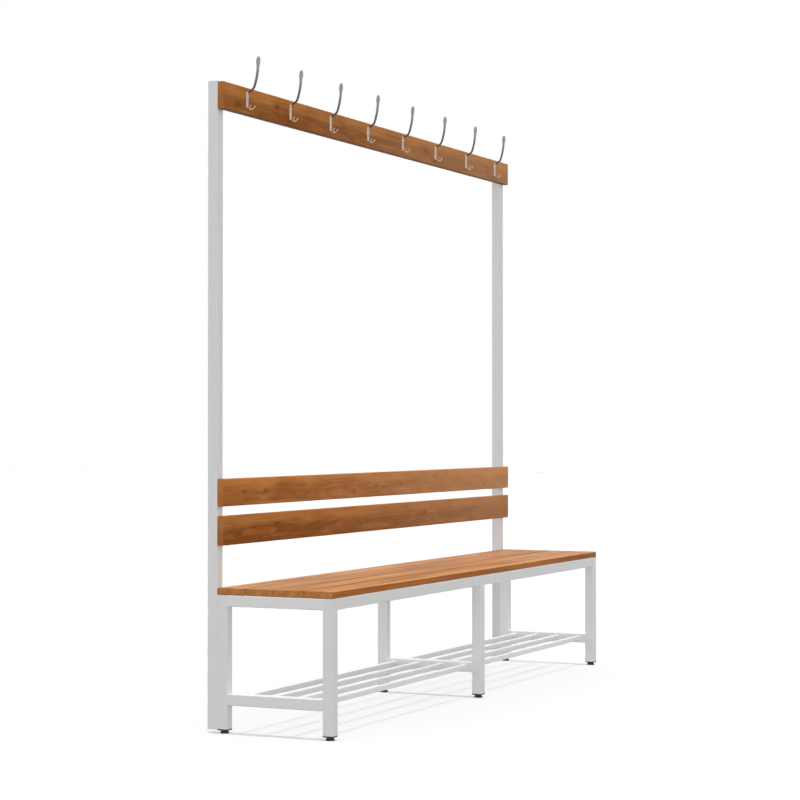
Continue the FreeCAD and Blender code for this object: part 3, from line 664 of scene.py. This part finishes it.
def to_mesh(name: str, form: Form) -> bpy.types.Mesh:
    """Turn a bmesh into a mesh, and free it."""
    mesh = bpy.data.meshes.new(name)
    form.to_mesh(mesh)
    form.free()
    return mesh


def stand(name: str, data: bpy.types.ID) -> Thing:
    """Put a mesh, a lamp or a camera into the scene, at the origin."""
    item = bpy.data.objects.new(name, data)
    bpy.context.scene.collection.objects.link(item)
    return item


def new_piece(name: str, form: Form, material: Material, body: str = ROOT) -> Thing:
    """Turn a bmesh into a piece that rides on a body.

    Args:
        name: The piece's name.
        form: The finished shape in metres, which is freed.
        material: Its material.
        body: The body that it moves with.

    Returns:
        The new object, at the origin with its place in its mesh.
    """
    mesh = to_mesh(name, form)
    mesh.materials.append(material)
    piece = stand(name, mesh)
    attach(piece, body)
    return piece


def put_on(piece: Thing, material: Material) -> None:
    """Give every material slot of an object one material."""
    for slot in piece.material_slots:
        slot.material = material


def coat(nodes: Nodes, prefixes: tuple[str, ...], material: Material) -> None:
    """Give one material to the nodes whose names start so."""
    for name, piece in nodes.items():
        if name.startswith(prefixes):
            put_on(piece, material)


def soften(form: Form, crease: float = math.inf) -> None:
    """Shade a shape smooth, with sharp edges where it turns by more than an angle in degrees."""
    for face in form.faces:
        face.smooth = True
    for edge in form.edges:
        if len(edge.link_faces) == 2 and edge.calc_face_angle() > math.radians(crease):
            edge.smooth = False


def set_down(form: Form, place: Sequence[float]) -> None:
    """Turn a shape in mm into metres, and move it to its place."""
    size = (MM, MM, MM)
    bmesh.ops.transform(form, matrix=Matrix.LocRotScale(place, None, size), verts=form.verts)


def edges_of(vertices: Iterable[bmesh.types.BMVert]) -> list[bmesh.types.BMEdge]:
    """The edges at some vertices, each once and always in the same order."""
    return list(dict.fromkeys(edge for vertex in vertices for edge in vertex.link_edges))


def sweep(form: Form, stations: Sequence[Matrix], sides: int, closed: bool = False) -> None:
    """Draw a round section through a row of stations.

    Args:
        form: The bmesh that gains the tube.
        stations: Place, turn and size of the unit circle at each step.
        sides: Number of sides of the section.
        closed: Whether the last ring meets the first, or both ends are capped.
    """
    made = bmesh.ops.create_circle(form, segments=sides, radius=1.0, matrix=stations[0])
    first = edges_of(made["verts"])
    ring = first
    for before, after in zip(stations, stations[1:]):
        grown = bmesh.ops.extrude_edge_only(form, edges=ring)["geom"]
        moved = {item for item in grown if isinstance(item, bmesh.types.BMVert)}
        ring = [item for item in grown
                if isinstance(item, bmesh.types.BMEdge) and moved.issuperset(item.verts)]
        bmesh.ops.transform(form, matrix=after @ before.inverted(), verts=list(moved))
    if closed:
        bmesh.ops.bridge_loops(form, edges=first + ring)
    else:
        bmesh.ops.contextual_create(form, geom=first)
        bmesh.ops.contextual_create(form, geom=ring)


# Sub-assemblies


@dataclass
class Seam:
    """A weld where the end of one tube meets another.

    Args:
        centre: Middle of the tube's end.
        axis: Direction of the tube that ends there.
        sides: Its size in the two directions across it.
        filled: The directions across it in which the other tube stands past it.
    """

    centre: Vector
    axis: Axis
    sides: Pair
    filled: tuple[Axis, ...]


@dataclass
class WeldedFrame:
    """Painted steel tubes and the weld seams between them."""

    coat: Material
    bead: float = 1.5 * MM
    fillet: float = 2.6 * MM
    sink: float = 1.15 * MM
    ripple: float = 0.10
    ripple_steps: int = 3
    ease_steps: int = 4
    step: float = 0.9 * MM
    bead_sides: int = 8

    def dress(self, nodes: Nodes) -> None:
        """Coat the tubes and lay the seams, one piece for each frame and shelf bay."""
        coat(nodes, ("leg_", "seat_cross", "shelf_cross", "front_seat", "rear_seat", "back_post",
                     "shelf_bar"), self.coat)
        for frame in FRAMES:
            self._lay(f"weld_seams_{frame}", self._frame_seams(frame))
        for bay in ENDS:
            bars = [f"shelf_bar_{bay}_{step}" for step in range(1, BARS + 1)]
            seams = [seam for bar in bars for seam in self._ends(bar, Axis.X, (Axis.Y, Axis.Z))]
            self._lay(f"shelf_bar_welds_{bay}", seams)

    def _frame_seams(self, frame: str) -> list[Seam]:
        """Seams of the cross rails of one frame, and of the long rails where they end there."""
        seams = self._ends(f"shelf_cross_rail_{frame}", Axis.Y, (Axis.Z,))
        if frame == "middle":
            seams += self._ends(f"seat_cross_rail_{frame}", Axis.Y, (Axis.X,))
            return seams + [self._ends(f"leg_{row}_{frame}", Axis.Z, (Axis.X,))[1] for row in ROWS]
        seams += self._ends(f"seat_cross_rail_{frame}", Axis.Y, (Axis.Z,))
        near = ENDS.index(frame)
        return seams + [self._ends(f"{row}_seat_rail", Axis.X, (Axis.Z,))[near] for row in ROWS]

    @staticmethod
    def _ends(node: str, axis: Axis, filled: tuple[Axis, ...]) -> list[Seam]:
        """The seams at the low and the high end of a tube."""
        low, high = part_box(node)
        sides = tuple((high - low)[index] for index in axis.others)
        seams = []
        for end in (low, high):
            centre = (low + high) / 2
            centre[axis.value] = end[axis.value]
            seams.append(Seam(centre, axis, sides, filled))
        return seams

    def _lay(self, name: str, seams: Sequence[Seam]) -> None:
        """Make one piece of several seams."""
        form = bmesh.new()
        for seam in seams:
            sweep(form, self._stations(seam), self.bead_sides, closed=True)
        bmesh.ops.recalc_face_normals(form, faces=form.faces)
        soften(form)
        new_piece(name, form, self.coat)
        LOG.info("%s: %d seams", name, len(seams))

    def _stations(self, seam: Seam) -> list[Matrix]:
        """Rings of the bead round the tube's outline, rippled as a weld is."""
        first, second = seam.axis.others
        half = [side / 2 - self.sink for side in seam.sides]
        corners = ((-1, -1), (1, -1), (1, 1), (-1, 1))
        stations = []
        for start, end in zip(corners, corners[1:] + corners[:1]):
            run = Vector((0.0, 0.0, 0.0))
            run[first] = (end[0] - start[0]) * half[0]
            run[second] = (end[1] - start[1]) * half[1]
            count = round(run.length / self.step)
            facing = Axis(first) if start[0] == end[0] else Axis(second)
            size = self.fillet if facing in seam.filled else self.bead
            for step in range(count):
                place = seam.centre.copy()
                place[first] += start[0] * half[0]
                place[second] += start[1] * half[1]
                place += run * step / count
                ease = min(min(step, count - step) / self.ease_steps, 1.0)
                swell = self.bead + (size - self.bead) * ease
                swell *= 1 + self.ripple * math.cos(step * math.tau / self.ripple_steps)
                turn = run.to_track_quat("Z", "Y").to_matrix().to_4x4()
                stations.append(Matrix.Translation(place) @ turn @ Matrix.Scale(swell, 4))
        return stations


@dataclass
class Planks:
    """Seat slats and boards, each sawn from its own tree."""

    pines: Mapping[str, StainedPine]

    def dress(self, nodes: Nodes) -> None:
        """Give every slat and board its own pine."""
        for name, pine in self.pines.items():
            low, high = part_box(name)
            middle = (low + high) / 2
            across, deep = (middle.z, middle.y) if pine.upright else (middle.y, middle.z)
            pine = replace(pine, name=f"pine_{name}", corner=(low.x, across, deep))
            put_on(nodes[name], pine.build())
            LOG.info("%s: %d knots", name, len(pine.knots))


@dataclass
class CoatHook:
    """Cast hook: strap, tall arm with an oval knob and two small prongs, sizes in mm."""

    strap_width: float = 8.5
    strap_height: float = 42.5
    strap_thickness: float = 4.0
    strap_corner: float = 3.5
    corner_steps: int = 6
    strap_easing: float = 1.7
    easing_steps: int = 4
    strap_drop: float = 13.5
    arm_radius: float = 3.2
    neck_radius: float = 4.2
    arm_root_drop: float = 1.8
    arm_root_run: float = 17.8
    arm_rise: float = 30.0
    arm_bend: Pair = (14.0, 40.0)
    arm_sweep: Pair = (185.0, 16.0)
    arm_tip_run: float = 7.4
    knob_half_length: float = 13.4
    knob_half_width: float = 6.3
    knob_half_depth: float = 5.1
    knob_rise: float = 10.5
    knob_blend: float = 3.6
    knob_pole: float = 0.0005
    prong_radius: float = 1.6
    prong_root_rise: float = 1.8
    prong_spread: float = 33.0
    prong_root_run: float = 9.3
    prong_drop: float = 30.0
    prong_bend: Pair = (5.0, 78.0)
    prong_tip_run: float = 9.0
    prong_tip_radius: float = 2.2
    prong_pole: float = 0.1
    screw_radius: float = 1.55
    screw_head_radius: float = 2.95
    screw_spacing: float = 20.0
    screw_sides: int = 32
    touch: float = 0.01
    voxel: float = 0.5
    settling: float = 0.5
    rounds: int = 3
    sides: int = 24

    def build(self) -> bpy.types.Mesh:
        """Cast one hook about the middle of its strap's back.

        Returns:
            The smooth mesh in mm.
        """
        form = bmesh.new()
        self._add_strap(form)
        self._add_arm(form)
        for swing in (-self.prong_spread, self.prong_spread):
            self._add_prong(form, swing)
        bmesh.ops.recalc_face_normals(form, faces=form.faces)
        return self._fuse(to_mesh("hook_casting", form))

    @staticmethod
    def _ease(form: Form, edges: list[bmesh.types.BMEdge], size: float, steps: int) -> None:
        """Round edges off."""
        bmesh.ops.bevel(form, geom=edges, offset=size, offset_type="OFFSET", segments=steps,
                        profile=0.5, affect="EDGES", material=-1)

    def _add_strap(self, form: Form) -> None:
        """Flat strap with round corners and eased front edges."""
        place = (0.0, -self.strap_thickness / 2, 0.0)
        size = (self.strap_width, self.strap_thickness, self.strap_height)
        made = bmesh.ops.create_cube(form, size=1.0, matrix=Matrix.LocRotScale(place, None, size))
        corners = [edge for edge in edges_of(made["verts"])
                   if abs(edge.verts[0].co.y - edge.verts[1].co.y) > self.touch]
        self._ease(form, corners, self.strap_corner, self.corner_steps)
        front = [edge for edge in form.edges
                 if all(abs(vertex.co.y + self.strap_thickness) < self.touch for vertex in edge.verts)]
        self._ease(form, front, self.strap_easing, self.easing_steps)

    def _add_arm(self, form: Form) -> None:
        """Arm that rises in a long curve and swells into the knob."""
        route = Route(self.strap_thickness / 2, self.strap_height / 2 - self.arm_root_drop,
                      self.arm_rise)
        route.run(self.arm_root_run)
        route.bend(*self.arm_bend)
        bent = route.length
        route.bend(*self.arm_sweep)
        route.run(self.arm_tip_run)
        middle = route.length + self.knob_rise
        route.run(self.knob_rise + self.knob_half_length)

        def section(place: float) -> Pair:
            """Half width and half depth of the arm at a distance along it."""
            climb = min(max((place - bent) / (middle - bent), 0.0), 1.0)
            arm = self.arm_radius + (self.neck_radius - self.arm_radius) * climb
            reach = abs(place - middle) / self.knob_half_length
            swell = math.sqrt(max(1.0 - reach * reach, self.knob_pole))
            if place > middle:
                arm *= swell
            power = self.knob_blend
            return tuple((arm ** power + (half * swell) ** power) ** (1 / power)
                         for half in (self.knob_half_width, self.knob_half_depth))

        sweep(form, route.stations(section), self.sides)

    def _add_prong(self, form: Form, swing: float) -> None:
        """One lower prong, swung to its side, with a ball at its tip."""
        route = Route(self.strap_thickness / 2, self.prong_root_rise - self.strap_height / 2,
                      -self.prong_drop)
        route.run(self.prong_root_run)
        route.bend(*self.prong_bend)
        route.run(self.prong_tip_run)
        length = route.length
        route.run(self.prong_tip_radius)

        def section(place: float) -> Pair:
            """Radius of the prong at a distance along it."""
            reach = (place - length) / self.prong_tip_radius
            ball = self.prong_tip_radius * math.sqrt(max(1.0 - reach * reach, 0.0))
            shank = self.prong_radius if place < length else self.prong_pole
            return (max(ball, shank),) * 2

        swung = Matrix.Rotation(math.radians(swing), 4, "Z")
        sweep(form, [swung @ station for station in route.stations(section)], self.sides)

    def _fuse(self, mesh: bpy.types.Mesh) -> bpy.types.Mesh:
        """Run the parts into one skin with soft fillets, and bore it for its screws."""
        casting = stand("hook_casting", mesh)
        skin = casting.modifiers.new("skin", "REMESH")
        skin.mode = "VOXEL"
        skin.voxel_size = self.voxel
        skin.use_smooth_shade = True
        settle = casting.modifiers.new("settle", "SMOOTH")
        settle.factor = self.settling
        settle.iterations = self.rounds
        cutter = self._screw_holes()
        bore = casting.modifiers.new("bore", "BOOLEAN")
        bore.operation = "DIFFERENCE"
        bore.solver = "EXACT"
        bore.object = cutter
        graph = bpy.context.evaluated_depsgraph_get()
        fused = bpy.data.meshes.new_from_object(casting.evaluated_get(graph))
        for spent in (casting, cutter):
            bpy.data.objects.remove(spent)
        return fused

    def _screw_holes(self) -> Thing:
        """Cutter for the two countersunk screw holes."""
        form = bmesh.new()
        narrow, wide = self.screw_radius, self.screw_head_radius
        facing = Matrix.Rotation(math.radians(90), 4, "X")
        for side in (-1, 1):
            middle = (0.0, wide / 2 - narrow - self.strap_thickness, side * self.screw_spacing / 2)
            bmesh.ops.create_cone(form, segments=self.screw_sides, radius1=narrow, radius2=wide + narrow,
                                  depth=wide, cap_ends=True, matrix=Matrix.Translation(middle) @ facing)
        return stand("hook_holes", to_mesh("hook_holes", form))

    def hang(self) -> None:
        """Hang a copy of the casting at each hook's place on the board."""
        casting = self.build()
        board_low, board_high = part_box("hook_board")
        shoulder = board_high.z - self.strap_drop * MM
        height = shoulder - self.strap_height / 2 * MM
        metal = CastMetal("satin_nickel", board_low.y, shoulder).build()
        for step in range(1, HOOKS + 1):
            name = f"coat_hook_{step}"
            low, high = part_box(name)
            form = bmesh.new()
            form.from_mesh(casting)
            set_down(form, ((low.x + high.x) / 2, high.y, height))
            soften(form)
            hook = new_piece(f"cast_hook_{step}", form, metal)
            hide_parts(name)
            LOG.info("%s: %d faces", hook.name, len(hook.data.polygons))
        bpy.data.meshes.remove(casting)


class Route:
    """Line of a rod in the upright plane of a hook: straight runs and bends."""

    STEP = 0.8

    def __init__(self, ahead: float, up: float, slope: float) -> None:
        """Start at a place in front of the board, heading up by a slope in degrees."""
        self.spot = Vector((0.0, -ahead, up))
        self.slope = slope
        self.length = 0.0
        self.points: list[tuple[Vector, float, float]] = [(self.spot.copy(), slope, 0.0)]

    def run(self, length: float, turn: float = 0.0) -> None:
        """Go on by a length, bending upwards through an angle in degrees."""
        count = math.ceil(length / self.STEP)
        for _ in range(count):
            self.slope += turn / count / 2
            angle = math.radians(self.slope)
            self.spot += Vector((0.0, -math.cos(angle), math.sin(angle))) * (length / count)
            self.slope += turn / count / 2
            self.length += length / count
            self.points.append((self.spot.copy(), self.slope, self.length))

    def bend(self, radius: float, turn: float) -> None:
        """Bend upwards through an angle in degrees."""
        self.run(radius * math.radians(turn), turn)

    def stations(self, section: Callable[[float], Pair]) -> list[Matrix]:
        """Rings along the route whose half sizes come from a function of the distance."""
        rings = []
        for spot, slope, place in self.points:
            turn = Matrix.Rotation(math.radians(90.0 - slope), 4, "X")
            size = Matrix.Diagonal((*section(place), 1.0, 1.0))
            rings.append(Matrix.Translation(spot) @ turn @ size)
        return rings


@dataclass
class LevellingFeet:
    """Moulded feet on threaded stems, sizes in mm."""

    black: Material
    base_radius: float = 12.2
    neck_radius: float = 10.5
    rim: float = 3.0
    bevel: float = 0.8
    height: float = 8.5
    stem_length: float = 24.0
    stem_radius: float = 3.95
    thread_depth: float = 0.62
    thread_pitch: float = 1.25
    rings_a_turn: int = 8
    sides: int = 40
    crease: float = 35.0

    def fit(self) -> None:
        """Put a foot in place of each plain glide, riding on its own body."""
        for row in ROWS:
            for frame in FRAMES:
                node = f"levelling_glide_{row}_{frame}"
                low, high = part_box(node)
                form = self._turn()
                self._cut_thread(form)
                bmesh.ops.recalc_face_normals(form, faces=form.faces)
                soften(form, self.crease)
                set_down(form, ((low.x + high.x) / 2, (low.y + high.y) / 2, low.z))
                body = f"glide_{row}_{frame}"
                foot = new_piece(f"threaded_foot_{row}_{frame}", form, self.black, body)
                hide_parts(node)
                LOG.info("%s: %d faces", foot.name, len(foot.data.polygons))

    def _turn(self) -> Form:
        """Pad and plain stem as one turned shape."""
        top = self.height + self.stem_length
        half = self.bevel / 2
        outline = [
            (self.base_radius - self.bevel, 0.0), (self.base_radius - half / 2, half / 2),
            (self.base_radius, self.bevel), (self.base_radius, self.rim),
            (self.neck_radius, self.rim + self.bevel), (self.neck_radius, self.height - half),
            (self.neck_radius - half, self.height), (self.stem_radius + half, self.height),
        ]
        step = self.thread_pitch / self.rings_a_turn
        count = math.floor((self.stem_length - self.bevel) / step)
        outline += [(self.stem_radius, self.height + step * ring) for ring in range(1, count + 1)]
        outline.append((self.stem_radius - self.bevel, top))
        form = bmesh.new()
        stations = [Matrix.LocRotScale((0.0, 0.0, level), None, (radius, radius, 1.0))
                    for radius, level in outline]
        sweep(form, stations, self.sides)
        return form

    def _cut_thread(self, form: Form) -> None:
        """Draw the stem in between the crests of a screw thread."""
        low = self.height + self.thread_pitch / self.rings_a_turn / 2
        high = self.height + self.stem_length - self.bevel
        for vertex in form.verts:
            level = vertex.co.z
            if low < level < high and vertex.co.xy.length > self.bevel:
                turn = math.atan2(vertex.co.y, vertex.co.x) / math.tau
                phase = (level / self.thread_pitch - turn) % 1.0
                fade = min(1.0, (level - low) / self.thread_pitch, (high - level) / self.thread_pitch)
                depth = self.thread_depth * abs(2 * phase - 1) * fade
                vertex.co.xy *= 1 - depth / vertex.co.xy.length


# Studio


class Heading(Enum):
    """The ways that lamplight travels: down, or all but level."""

    DOWN = (0.0, 0.0, -1.0)
    RIGHT = (1.0, 0.0, -0.05)
    LEFT = (-1.0, 0.0, -0.05)
    BACK = (0.0, 1.0, -0.05)
    FRONT = (0.0, -1.0, -0.05)


@dataclass(frozen=True)
class Lamp:
    """A distant lamp.

    Args:
        name: Its name.
        light: The light on a face square to it, 1 for full white.
        heading: The way that its light travels.
        softness: Its size in the sky, in degrees.
        lit: Prefixes of the only pieces that it lights, or none for all.
        casters: Prefixes of the pieces that cast its shadow.
    """

    name: str
    light: float
    heading: Heading
    softness: float = 40.0
    lit: tuple[str, ...] = ()
    casters: tuple[str, ...] = ()


@dataclass
class Studio:
    """Pale floor, soft even light and the camera."""

    sky: float = 0.55
    ring: float = 0.75
    ring_heights: Span = (0.2, 0.9)
    standing: tuple[str, ...] = (
        "shelf_cross", "leg_", "back_post", "foot_insert", "threaded_foot", "post_bottom_cap")
    lamps: tuple[Lamp, ...] = (
        Lamp("overhead", 0.56, Heading.DOWN),
        Lamp("left_fill", 0.29, Heading.RIGHT),
        Lamp("right_fill", 0.28, Heading.LEFT),
        Lamp("front_fill", 0.195, Heading.BACK),
        Lamp("rear_fill", 0.24, Heading.FRONT),
        Lamp("leg_fill", 0.135, Heading.RIGHT, lit=("leg_front_m", "leg_rear_m", "shelf_cross_rail_m")),
        Lamp("far_fill", 0.155, Heading.RIGHT, lit=("leg_front_r", "leg_rear_r", "shelf_cross_rail_r")),
        Lamp("inner_fill", 0.115, Heading.BACK, lit=("leg_rear", "shelf_bar")),
        Lamp("shelf_fill", 0.58, Heading.DOWN, 26.0, ("shelf_",)),
        Lamp("rail_fill", 0.45, Heading.DOWN, lit=("seat_cross_rail_left",)),
        Lamp("bar_lamp", 0.29, Heading.DOWN, 1.4, ("floor",), standing + ("shelf_bar",)),
        Lamp("frame_lamp", 0.45, Heading.DOWN, 8.0, ("floor",), standing),
    )
    floor_half: float = 30.0
    floor_bounce: float = 0.12
    floor_matt: float = 0.40
    floor_glow: float = 0.17
    camera_place: tuple[float, float, float] = (-5.9766, -2.7134, 0.8140)
    camera_yaw: float = 64.900
    camera_pitch: float = 0.730
    lens: float = 96.66
    sensor: float = 36.0
    sight: float = 200.0

    def set_up(self) -> None:
        """Build the floor, the world, the lamps and the camera."""
        bpy.context.scene.view_settings.view_transform = "Standard"
        # With the light tree, pieces that have lamps of their own lose others at random.
        bpy.context.scene.cycles.use_light_tree = False
        self._lay_floor()
        self._fill_world()
        for lamp in self.lamps:
            self._hang(lamp)
        self._place_camera()

    def _lay_floor(self) -> None:
        """A wide plain floor that shows white but keeps the bench's shadow."""
        form = bmesh.new()
        bmesh.ops.create_grid(form, x_segments=1, y_segments=1, size=self.floor_half)
        floor = stand("floor", to_mesh("floor", form))
        material = bpy.data.materials.new("pale_floor")
        tree = Tree(material)
        glow = tree.node("Emission", {"Strength": self.floor_glow})
        matt, dull = (tree.node("BsdfDiffuse", {"Color": (grey, grey, grey, 1.0)})
                      for grey in (self.floor_matt, self.floor_bounce))
        pale = tree.node("AddShader", {0: glow, 1: matt})
        tree.node_out(tree.node("MixShader", {0: self._seen(tree), 1: dull, 2: pale}))
        floor.data.materials.append(material)

    @staticmethod
    def _seen(tree: Tree) -> Wire:
        """1 for rays that show the background: camera, glossy and transmission rays."""
        rays = [tree.node("LightPath", output=f"Is {kind} Ray")
                for kind in ("Camera", "Glossy", "Transmission")]
        return reduce(lambda one, other: tree.math("MAXIMUM", one, other), rays)

    def _fill_world(self) -> None:
        """Soft light, strongest in a ring about the horizon, and white where it is seen."""
        world = bpy.data.worlds.new("studio")
        bpy.context.scene.world = world
        tree = Tree(world)
        white = (1.0, 1.0, 1.0, 1.0)
        heading = tree.parts(tree.node("TexCoord", output="Generated"))
        height = tree.math("ABSOLUTE", heading[Axis.Z.value])
        strength = self.sky + tree.fall(height, self.ring_heights) * self.ring
        light = tree.node("Background", {"Color": white, "Strength": strength})
        seen = tree.node("Background", {"Color": white, "Strength": 1.0})
        surface = tree.node("MixShader", {0: self._seen(tree), 1: light, 2: seen})
        tree.node_out(surface, "OutputWorld")

    @staticmethod
    def _gather(name: str, prefixes: tuple[str, ...]) -> bpy.types.Collection | None:
        """A collection of the pieces whose names start so, or none for no prefixes."""
        if not prefixes:
            return None
        gathered = bpy.data.collections.new(name)
        for piece in bpy.context.scene.objects:
            if piece.name.startswith(prefixes):
                gathered.objects.link(piece)
        return gathered

    def _hang(self, lamp: Lamp) -> None:
        """Make one lamp, which casts a shadow only where the lamp names its casters."""
        lit = self._gather(f"{lamp.name}_lit", lamp.lit)
        casters = self._gather(f"{lamp.name}_casters", lamp.casters)
        data = bpy.data.lights.new(lamp.name, "SUN")
        data.energy = lamp.light * math.pi
        data.angle = math.radians(lamp.softness)
        data.use_shadow = bool(lamp.casters)
        data.cycles.use_multiple_importance_sampling = False
        holder = stand(lamp.name, data)
        holder.rotation_euler = Vector(lamp.heading.value).to_track_quat("-Z", "Y").to_euler()
        holder.visible_glossy = False
        holder.light_linking.receiver_collection = lit
        holder.light_linking.blocker_collection = casters

    def _place_camera(self) -> None:
        """The camera of the photograph."""
        data = bpy.data.cameras.new("camera")
        data.lens = self.lens
        data.sensor_width = self.sensor
        data.clip_end = self.sight
        camera = stand("camera", data)
        camera.location = self.camera_place
        tilt, swing = math.radians(90.0 + self.camera_pitch), math.radians(-self.camera_yaw)
        camera.rotation_euler = (tilt, 0.0, swing)
        bpy.context.scene.camera = camera


# The bench's own planks


# Slats with painted shade on their sides and towards their bottoms, boards with painted shade on their
# undersides.
SLAT = StainedPine(
    "slat", light=(0.540, 0.250, 0.086), dark=(0.270, 0.100, 0.022), red=(0.400, 0.155, 0.050),
    heart=(0.150, 0.045, 0.012), side_shade_tint=(0.61, 0.46, 0.24), end_grain=(0.270, 0.108, 0.034),
    patches=Grain(480.0, 24.0, 1511.0, 3.0, 2.5), streakiness=1.7,
    pale_ends=(0.0, 0.05), foot_shade=0.28,
)
BOARD = StainedPine("board", upright=True, underside_shade_tint=(0.46, 0.36, 0.30))
# Brightness, painted shade at the front and rear joint, and knots of each slat.
SLATS = (
    (1.07, (0.0, 0.35),
     (Knot(240, 12, 6, 1.6, 0.7), Knot(980, -20, 7, 1.6, 0.8), Knot(1620, 8, 6, 1.6, 0.7))),
    (1.05, (0.35, 0.30), (Knot(530, -14, 6, 1.6, 0.7), Knot(1290, 20, 5, 1.6, 0.7))),
    (0.97, (0.40, 0.15),
     (Knot(150, 18, 5, 1.6, 0.7), Knot(840, -8, 7, 1.6, 0.8), Knot(1750, -16, 5, 1.6, 0.7))),
    (1.05, (0.15, 0.0),
     (Knot(420, 6, 6, 1.6, 0.7), Knot(1130, 14, 7, 1.6, 0.8), Knot(1480, -22, 5, 1.6, 0.7))),
)
PINES = {
    f"seat_slat_{step}": replace(
        SLAT, seed=float(step), pith_across=9.0 * (-1) ** step, pith_deep=30.0 + 5.0 * step,
        brightness=brightness, joint_shade=joints, knots=knots)
    for step, (brightness, joints, knots) in enumerate(SLATS, start=1)
}
PINES["lower_back_board"] = replace(
    BOARD, seed=11.0, pith_across=-10.0, brightness=0.96, sapwood=0.85, knots=(
        Knot(77, -12, 4, 2.6, 0.3), Knot(202, -26, 3.5, 2.2, 0.8), Knot(301, 9, 4, 2.2, 0.8),
        Knot(303, -14, 3, 2.2, 0.4), Knot(443, -8, 10, 3.2, 0.0), Knot(593, -7, 9, 4.0, 0.0),
        Knot(865, -10, 3.5, 2.2, 0.5), Knot(1080, -13, 4, 2.4, 0.5), Knot(1199, -26, 6, 2.4, 0.0),
        Knot(1293, 4, 4, 2.6, 0.9), Knot(1470, -9, 9, 3.0, 0.0), Knot(1606, -11, 9, 3.0, 0.0)))
PINES["upper_back_board"] = replace(
    BOARD, seed=18.0, pith_across=-16.0, brightness=1.18, sapwood=0.62, pale_ends=(0.06, 0.52), knots=(
        Knot(112, 0, 3.5, 2.4, 0.8), Knot(234, -1, 3.5, 2.4, 0.8), Knot(380, -5, 17, 3.6, 0.0, 0.10),
        Knot(455, -8, 7, 3.0, 0.0), Knot(783, -18, 4, 2.2, 0.7), Knot(934, -5, 4, 2.4, 0.6),
        Knot(1113, -2, 4, 2.4, 0.6), Knot(1367, -2, 15, 3.4, 0.0, 0.08), Knot(1430, -8, 8, 3.0, 0.0),
        Knot(1784, -18, 5, 1.8, 0.7)))
PINES["hook_board"] = replace(
    BOARD, seed=25.0, pith_across=-6.0, brightness=1.02, sapwood=0.90, pale_ends=(0.0, 0.42), knots=(
        Knot(78, -16, 4.5, 2.0, 0.7), Knot(201, -30, 4, 2.2, 0.5), Knot(298, 5, 5.5, 1.8, 0.9),
        Knot(366, -29, 4, 2.4, 0.3), Knot(586, 21, 4, 2.4, 0.3), Knot(766, -23, 4, 2.4, 0.5),
        Knot(1301, 3, 6, 2.0, 0.8), Knot(1530, 19, 4, 2.4, 0.4), Knot(1815, -12, 4, 2.4, 0.4)))


def main() -> None:
    """Load the frame, dress every part and set up the studio."""
    logging.basicConfig(level=logging.INFO, format="%(name)s: %(message)s")
    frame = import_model()
    nodes = frame["nodes"]

    WeldedFrame(POWDER_COAT.build()).dress(nodes)
    Planks(PINES).dress(nodes)
    CoatHook().hang()
    black = BLACK_MOULDING.build()
    LevellingFeet(black).fit()
    coat(nodes, ("foot_insert",), black)
    coat(nodes, ("post_top_cap", "post_bottom_cap"), GREY_MOULDING.build())
    coat(nodes, ("seat_slat_screws", "board_screws", "hook_screws", "post_bolts", "post_nuts"),
         ZINC_PLATE.build())
    Studio().set_up()


if __name__ == "__main__":
    main()
